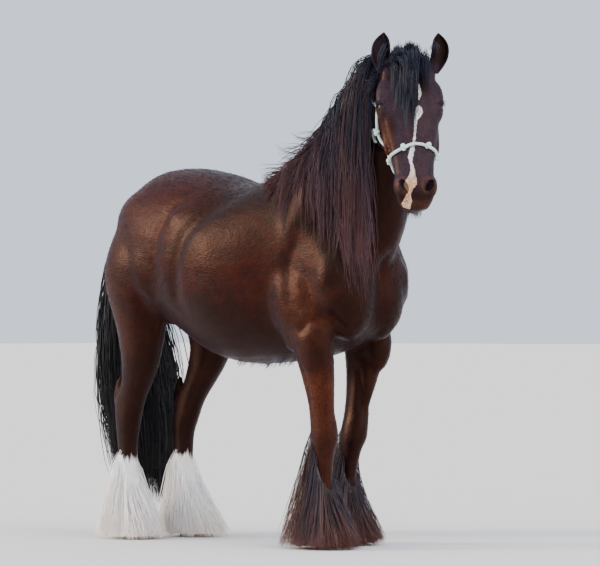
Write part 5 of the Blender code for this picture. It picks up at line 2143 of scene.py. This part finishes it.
@dataclass
class Halter:
    """The rope halter: noseband, cheek pieces up behind the ears, throat loop and knots."""

    place: HeadPlace
    surface: Surface
    ropes: RopeTree
    radius: float = 0.0058
    knot: float = 0.0086
    noseband_points: tuple = ((0, 0.607, 0.0), (0.040, 0.628, -0.015), (0.062, 0.648, -0.045), (0.070, 0.665, -0.080),
                              (0.070, 0.715, -0.120), (0.040, 0.740, -0.155), (0, 0.750, -0.165),
                              (-0.040, 0.740, -0.155), (-0.078, 0.690, -0.110), (-0.088, 0.648, -0.065),
                              (-0.050, 0.617, -0.015))
    cheek_points: tuple = ((0.070, 0.660, -0.085), (0.086, 0.600, -0.110), (0.104, 0.510, -0.130),
                           (0.112, 0.430, -0.125), (0.112, 0.284, -0.105), (0.104, 0.190, -0.135),
                           (0.084, 0.060, -0.135))
    crown_points: tuple = ((0.050, -0.050, -0.060), (0, -0.075, -0.030), (-0.050, -0.050, -0.060))

    def laid(self, spots: list[Vector], height: float, closed: bool = False) -> list[Vector]:
        """A smooth path laid on the skin.

        Args:
            spots: Places near it.
            height: How high its middle lies.
            closed: Whether its ends meet.

        Returns:
            The path.
        """
        if closed:
            knots = [spots[-1]] + spots + [spots[0], spots[1]]
        else:
            knots = [spots[0] * 2 - spots[1]] + spots + [spots[-1] * 2 - spots[-2]]
        path = []
        for index in range(len(knots) - 3):
            for part in range(10):
                point = curve_through(*knots[index:index + 4], part / 10)
                place, normal, _ = self.surface.nearest(point)
                path.append(place + normal * height)
        path.append(path[0] if closed else path[-1])
        for _ in range(3):
            inner = [(a + b * 2 + c) / 4 for a, b, c in zip(path, path[1:], path[2:])]
            path = [path[0]] + [self.surface.lift(point, height) for point in inner] + [path[-1]]
        return path

    def knot_path(self, centre: Vector, turn: float) -> list[Vector]:
        """A small closed knot.

        Args:
            centre: Its middle.
            turn: How it is turned, in radians.

        Returns:
            The closed path.
        """
        place, normal, _ = self.surface.nearest(centre)
        side = normal.cross(UP).normalized()
        other = side.cross(normal)
        points = []
        for index in range(49):
            angle = 2 * math.pi * index / 48
            x = math.sin(angle) + 1.6 * math.sin(2 * angle)
            y = math.cos(angle) - 1.6 * math.cos(2 * angle)
            z = -math.sin(3 * angle)
            u, v = x * math.cos(turn) - y * math.sin(turn), x * math.sin(turn) + y * math.cos(turn)
            points.append(place + normal * (self.knot * 1.15)
                          + (side * u + other * v) * (self.knot * 0.42) + normal * (z * self.knot * 0.45))
        points[-1] = points[0]
        return points

    def build(self, finish: bpy.types.Material) -> list[bpy.types.Object]:
        """Build the noseband and the headpiece.

        Args:
            finish: The rope's material.

        Returns:
            The two pieces.
        """
        at = self.place.at
        band = self.laid([at(*spot) for spot in self.noseband_points], self.radius * 0.9, closed=True)
        knots = [self.knot_path(at(*spot), turn) for spot, turn in
                 (((0.040, 0.628, -0.015), 0.3), ((-0.050, 0.617, -0.015), 1.4), ((0.070, 0.663, -0.082), 2.2),
                  ((-0.088, 0.648, -0.065), 0.9), ((0, 0.750, -0.165), 0.0))]
        nose = self.ropes.lay("rope_noseband", [band] + knots, finish, Radius=self.radius)
        rights = [at(*spot) for spot in self.cheek_points]
        lefts = [at(-right, along, out) for right, along, out in self.cheek_points]
        over = self.laid(rights + [at(*spot) for spot in self.crown_points] + lefts[::-1], self.radius * 0.9)
        throat = [at(0.112, 0.430, -0.125), at(0.098, 0.370, -0.170), at(0.050, 0.320, -0.220),
                  at(0, 0.310, -0.240), at(-0.050, 0.320, -0.220), at(-0.098, 0.370, -0.170),
                  at(-0.112, 0.430, -0.125)]
        under = self.laid(throat, self.radius * 0.9)
        turns = [self.knot_path(at(0.112, 0.430, -0.125), 0.6), self.knot_path(at(-0.112, 0.430, -0.125), 1.9)]
        head = self.ropes.lay("rope_headpiece", [over, under] + turns, finish, Radius=self.radius)
        return [nose, head]


@dataclass
class Hooves:
    """Four hooves that spread to flat soles."""

    legs: Legs
    height: float = 0.0546

    def build(self, side: Side, front: bool) -> bpy.types.Object:
        """Build one hoof.

        Args:
            side: Which side.
            front: Whether it is a fore hoof.

        Returns:
            One closed mesh in the animal's own frame.
        """
        coronet = self.legs.rows(front)[-2]
        middle = coronet[2] + self.legs.shift(0.0, side, front)
        spots = ((self.height, 0.001, 0.0545, 0.057), (self.height - 0.002, 0.0, 0.0585, 0.0605),
                 (self.height - 0.006, -0.0005, 0.0580, 0.0600), (0.030, -0.006, 0.0625, 0.0655),
                 (0.002, -0.0135, 0.0675, 0.0725), (0.0, -0.0135, 0.0665, 0.0715))
        rings = [ring(Vector((side.value * coronet[1], middle + ahead, z)), Vector((1, 0, 0)), Vector((0, -1, 0)),
                      half, long, long * 0.9, 0.85, 0.95, 56) for z, ahead, half, long in spots]
        name = f"horn_{'fore' if front else 'hind'}_{side.name.lower()}"
        return tube(name, rings)


@dataclass
class Studio:
    """A plain pale floor, soft lights, and the camera at the photograph's angle."""

    shift: Vector
    camera_place: Vector = field(default_factory=lambda: Vector((-10.526, -9.821, 0.847)))
    lens: float = 226.2
    aim_turn: float = math.radians(0.62)
    aim_rise: float = math.radians(0.64)

    def build(self) -> None:
        """Build floor, world, lights and camera."""
        mesh = bpy.data.meshes.new("floor")
        mesh.from_pydata([(-120, -120, 0), (120, -120, 0), (120, 120, 0), (-120, 120, 0)], [], [(0, 1, 2, 3)])
        floor = link("studio_floor", mesh)
        mesh.materials.append(PaleFloor().make())
        floor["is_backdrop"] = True
        world = bpy.data.worlds.new("soft_sky")
        world.use_nodes = True
        world.node_tree.nodes["Background"].inputs[0].default_value = (0.80, 0.88, 1.0, 1)
        world.node_tree.nodes["Background"].inputs[1].default_value = 1.22
        bpy.context.scene.world = world
        ahead = Vector((0.731, 0.682, 0))
        left = Vector((-0.682, 0.731, 0))
        self.lamp("warm_side", -ahead * 0.08 + left * 1.0 + UP * 0.36, 16, 4.2, (1.0, 0.82, 0.62))
        self.lamp("soft_top", -ahead * 0.55 + left * 0.2 + UP * 1.0, 80, 2.2, (0.88, 0.90, 1.0))
        self.lamp("soft_front", -ahead * 0.55 - left * 0.60 + UP * 0.30, 50, 2.5, (1.0, 0.93, 0.92))
        self.camera(ahead)

    def lamp(self, name: str, towards: Vector, breadth: float, strength: float, colour: Colour) -> None:
        """Add one soft far lamp.

        Args:
            name: Its name.
            towards: The direction from the animal to the lamp.
            breadth: How broad it looks, in degrees.
            strength: How strong it is.
            colour: Its colour.
        """
        light = bpy.data.lights.new(name, "SUN")
        light.angle, light.energy, light.color = math.radians(breadth), strength, colour
        lamp = bpy.data.objects.new(name, light)
        bpy.context.scene.collection.objects.link(lamp)
        lamp.rotation_euler = towards.to_track_quat("Z", "Y").to_euler()

    def camera(self, ahead: Vector) -> None:
        """Add the camera.

        Args:
            ahead: The level direction that it looks in.
        """
        data = bpy.data.cameras.new("camera")
        data.lens, data.sensor_width, data.clip_end = self.lens, 36.0, 200.0
        camera = bpy.data.objects.new("camera", data)
        bpy.context.scene.collection.objects.link(camera)
        camera.location = self.camera_place + self.shift
        look = Matrix.Rotation(self.aim_turn, 3, "Z") @ ahead
        look = (look * math.cos(self.aim_rise) + UP * math.sin(self.aim_rise)).normalized()
        camera.rotation_euler = look.to_track_quat("-Z", "Y").to_euler()
        bpy.context.scene.camera = camera


@dataclass
class Horse:
    """The whole animal, built piece by piece."""

    shift: Vector
    room: tuple
    spill: float = 0.020
    floor_zone: float = 0.006
    place: HeadPlace = field(default_factory=HeadPlace)
    trunk: Trunk = field(default_factory=Trunk)
    legs: Legs = field(default_factory=Legs)

    def settle(self, piece: bpy.types.Object, part: Part, *nodes: str) -> bpy.types.Object:
        """Move a piece to the solids' frame, draw long hair in to their box, and hide the solids' nodes that it
        replaces.

        Args:
            piece: The piece.
            part: Its material slot.
            nodes: The solids' nodes that it replaces.

        Returns:
            The piece.
        """
        piece.data.transform(Matrix.Translation(self.shift))
        co = numbers(piece.data)
        low, high = (np.array(corner) for corner in self.room)
        over, below = np.clip(co - high, 0, None), np.clip(low - co, 0, None)
        below[:, 2] = 0
        co += self.spill * (1 - np.exp(-over / self.spill)) - over
        co -= self.spill * (1 - np.exp(-below / self.spill)) - below
        near = co[:, 2] < self.floor_zone
        co[near, 2] = 0.001 + 0.005 * np.exp((co[near, 2] - self.floor_zone) / 0.012)
        if part not in (Part.HOOF, Part.COAT):
            piece.data.vertices.foreach_set("co", co.ravel().astype(np.float32))
        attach(piece, "root")
        if nodes:
            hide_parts(*nodes)
        LOG.info("%s: %d faces", piece.name, len(piece.data.polygons))
        return piece

    def build(self) -> None:
        """Build and dress every piece."""
        head = Head(self.place)
        skin = Skin(self.trunk, self.legs, head).build()
        Skin.unwrap(skin)
        coat = BayCoat().make()
        skin.data.materials.clear()
        skin.data.materials.append(coat)
        Markings(self.place).put(skin.data)
        surface = Surface(skin)
        ShortCoat(self.place).put(skin)
        mane = Mane(self.trunk, self.place, Drape(surface))
        guides = mane.mane_guides()
        # Painted shade under the mane and forelock, by how near the skin lies to their wisps.
        keep(skin.data, "under_mane", surface.nearness(skin.data, guides + mane.fringe_guides(), 0.060))
        self.hair(surface, mane, guides)
        self.short_coat(skin, coat)
        legs = [f"{end}leg_{hand}_{part}" for end in ("fore", "hind") for hand in ("left", "right")
                for part in ("upper", "lower")]
        self.settle(skin, Part.COAT, "torso", "neck", "head", "tail", "ear_left", "ear_right", *legs)
        gloss = EyeGloss().make()
        for sign, node in ((1, "eye_right"), (-1, "eye_left")):
            ball = head.eyeball(sign)
            ball.name = "wet_" + node
            ball.data.materials.append(gloss)
            ball.data.polygons.foreach_set("use_smooth", [True] * len(ball.data.polygons))
            self.settle(ball, Part.EYE, node)
        horn = Horn().make()
        for side in Side:
            for front in (True, False):
                hoof = Hooves(self.legs).build(side, front)
                hoof.data.materials.append(horn)
                node = f"hoof_{'fore' if front else 'hind'}_{side.name.lower()}"
                self.settle(hoof, Part.HOOF, node)
        nose, crown = Halter(self.place, surface, RopeTree()).build(BraidedRope().make())
        self.settle(nose, Part.ROPE, "halter_noseband")
        self.settle(crown, Part.ROPE, "halter_headpiece")

    def hair(self, surface: Surface, mane: Mane, guides: list[Guide]) -> None:
        """Grow mane, forelock, tail and feather.

        Args:
            surface: The skin that they grow from.
            mane: The mane and forelock.
            guides: The mane's guides.
        """
        strands = StrandTree()
        # The black hair's blue tint and its blue lighter locks are a painted blue sheen.
        black = LongHair("black_hair", (0.004, 0.004, 0.007), (0.090, 0.026, 0.017), (0.045, 0.042, 0.080),
                         sheen=0.15).make()
        # The forelock and fine hair are tinted blue as a painted sheen.
        fringe = LongHair("fringe_hair", (0.002, 0.002, 0.008), (0.005, 0.005, 0.014), (0.012, 0.012, 0.045),
                          roughness=0.5, sheen=0.10).make()
        for index in range(2):
            piece = strands.strands(f"mane_{index + 1}", guides[index::2], black, Strands=27, Points=10,
                                    Seed=5 + index, Root_Spread=0.009, Middle_Spread=0.017, Tip_Spread=0.012,
                                    Scatter=0.20, Wave=0.009, Thickness=0.0017)
            self.settle(piece, Part.MANE, "neck")
        piece = strands.strands("forelock", mane.fringe_guides(), fringe, Strands=20, Points=9, Seed=9,
                                Root_Spread=0.010, Middle_Spread=0.011, Tip_Spread=0.010, Scatter=0.04,
                                Wave=0.006, Thickness=0.0010)
        self.settle(piece, Part.MANE, "head")
        piece = strands.strands("fine_hair", FineHair(Head(self.place), Drape(surface)).guides(), fringe, Strands=9,
                                Points=5, Seed=3, Root_Spread=0.020, Middle_Spread=0.024, Tip_Spread=0.026,
                                Scatter=0.02, Wave=0.006, Thickness=0.0006)
        self.settle(piece, Part.MANE, "torso")
        tail_black = LongHair("tail_black", (0.002, 0.002, 0.003), (0.012, 0.008, 0.006), (0.030, 0.024, 0.024),
                              roughness=0.55, sheen=0.04).make()
        tail = Tail(surface)
        guides = tail.guides()
        for index in range(2):
            piece = strands.strands(f"tail_hair_{index + 1}", guides[index::2], tail_black,
                                    tail.under(tail_black) if index == 0 else None, Strands=32, Points=11,
                                    Seed=15 + index, Root_Spread=0.010, Middle_Spread=0.030, Tip_Spread=0.020,
                                    Scatter=0.14, Wave=0.012, Thickness=0.0023)
            self.settle(piece, Part.TAIL, "tail")
        dark = LongHair("dark_feather", (0.017, 0.009, 0.009), (0.085, 0.026, 0.015), (0.130, 0.052, 0.038)).make()
        white = LongHair("white_feather", (0.94, 0.93, 0.91), (0.86, 0.78, 0.70), (0.96, 0.95, 0.94),
                         lighter=0.5, roughness=0.55).make()
        for side in Side:
            for front in (True, False):
                name = f"feather_{'fore' if front else 'hind'}_{side.name.lower()}"
                feather = Feather(self.legs, surface, side, front)
                finish = dark if front else white
                piece = strands.strands(name, feather.guides(), finish, feather.under(finish), Strands=20, Points=7,
                                        Seed=40, Root_Spread=0.009, Middle_Spread=0.013, Tip_Spread=0.014,
                                        Scatter=0.012, Wave=0.009, Thickness=0.0014)
                node = f"{'fore' if front else 'hind'}leg_{side.name.lower()}_lower"
                self.settle(piece, Part.DARK_FEATHER if front else Part.WHITE_FEATHER, node)

    def short_coat(self, skin: bpy.types.Object, coat: bpy.types.Material) -> None:
        """Lay the short coat's tufts.

        Args:
            skin: The marked skin.
            coat: The coat's material.
        """
        tree = CoatTree()
        for index in range(2):
            piece = tree.tufts(f"short_coat_{index + 1}", skin, coat, Seed=3 + index, Density=4700.0)
            self.settle(piece, Part.COAT, "torso")


def main() -> None:
    """Build the animal, with its hair drawn in to the solids' box, and the studio."""
    logging.basicConfig(level=logging.INFO, format="%(message)s")
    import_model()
    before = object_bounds()
    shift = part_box("hoof_fore_right")[0] - HOOF_LOW_CORNER
    Horse(Vector(shift), before).build()
    Studio(Vector(shift)).build()


if __name__ == "__main__":
    main()
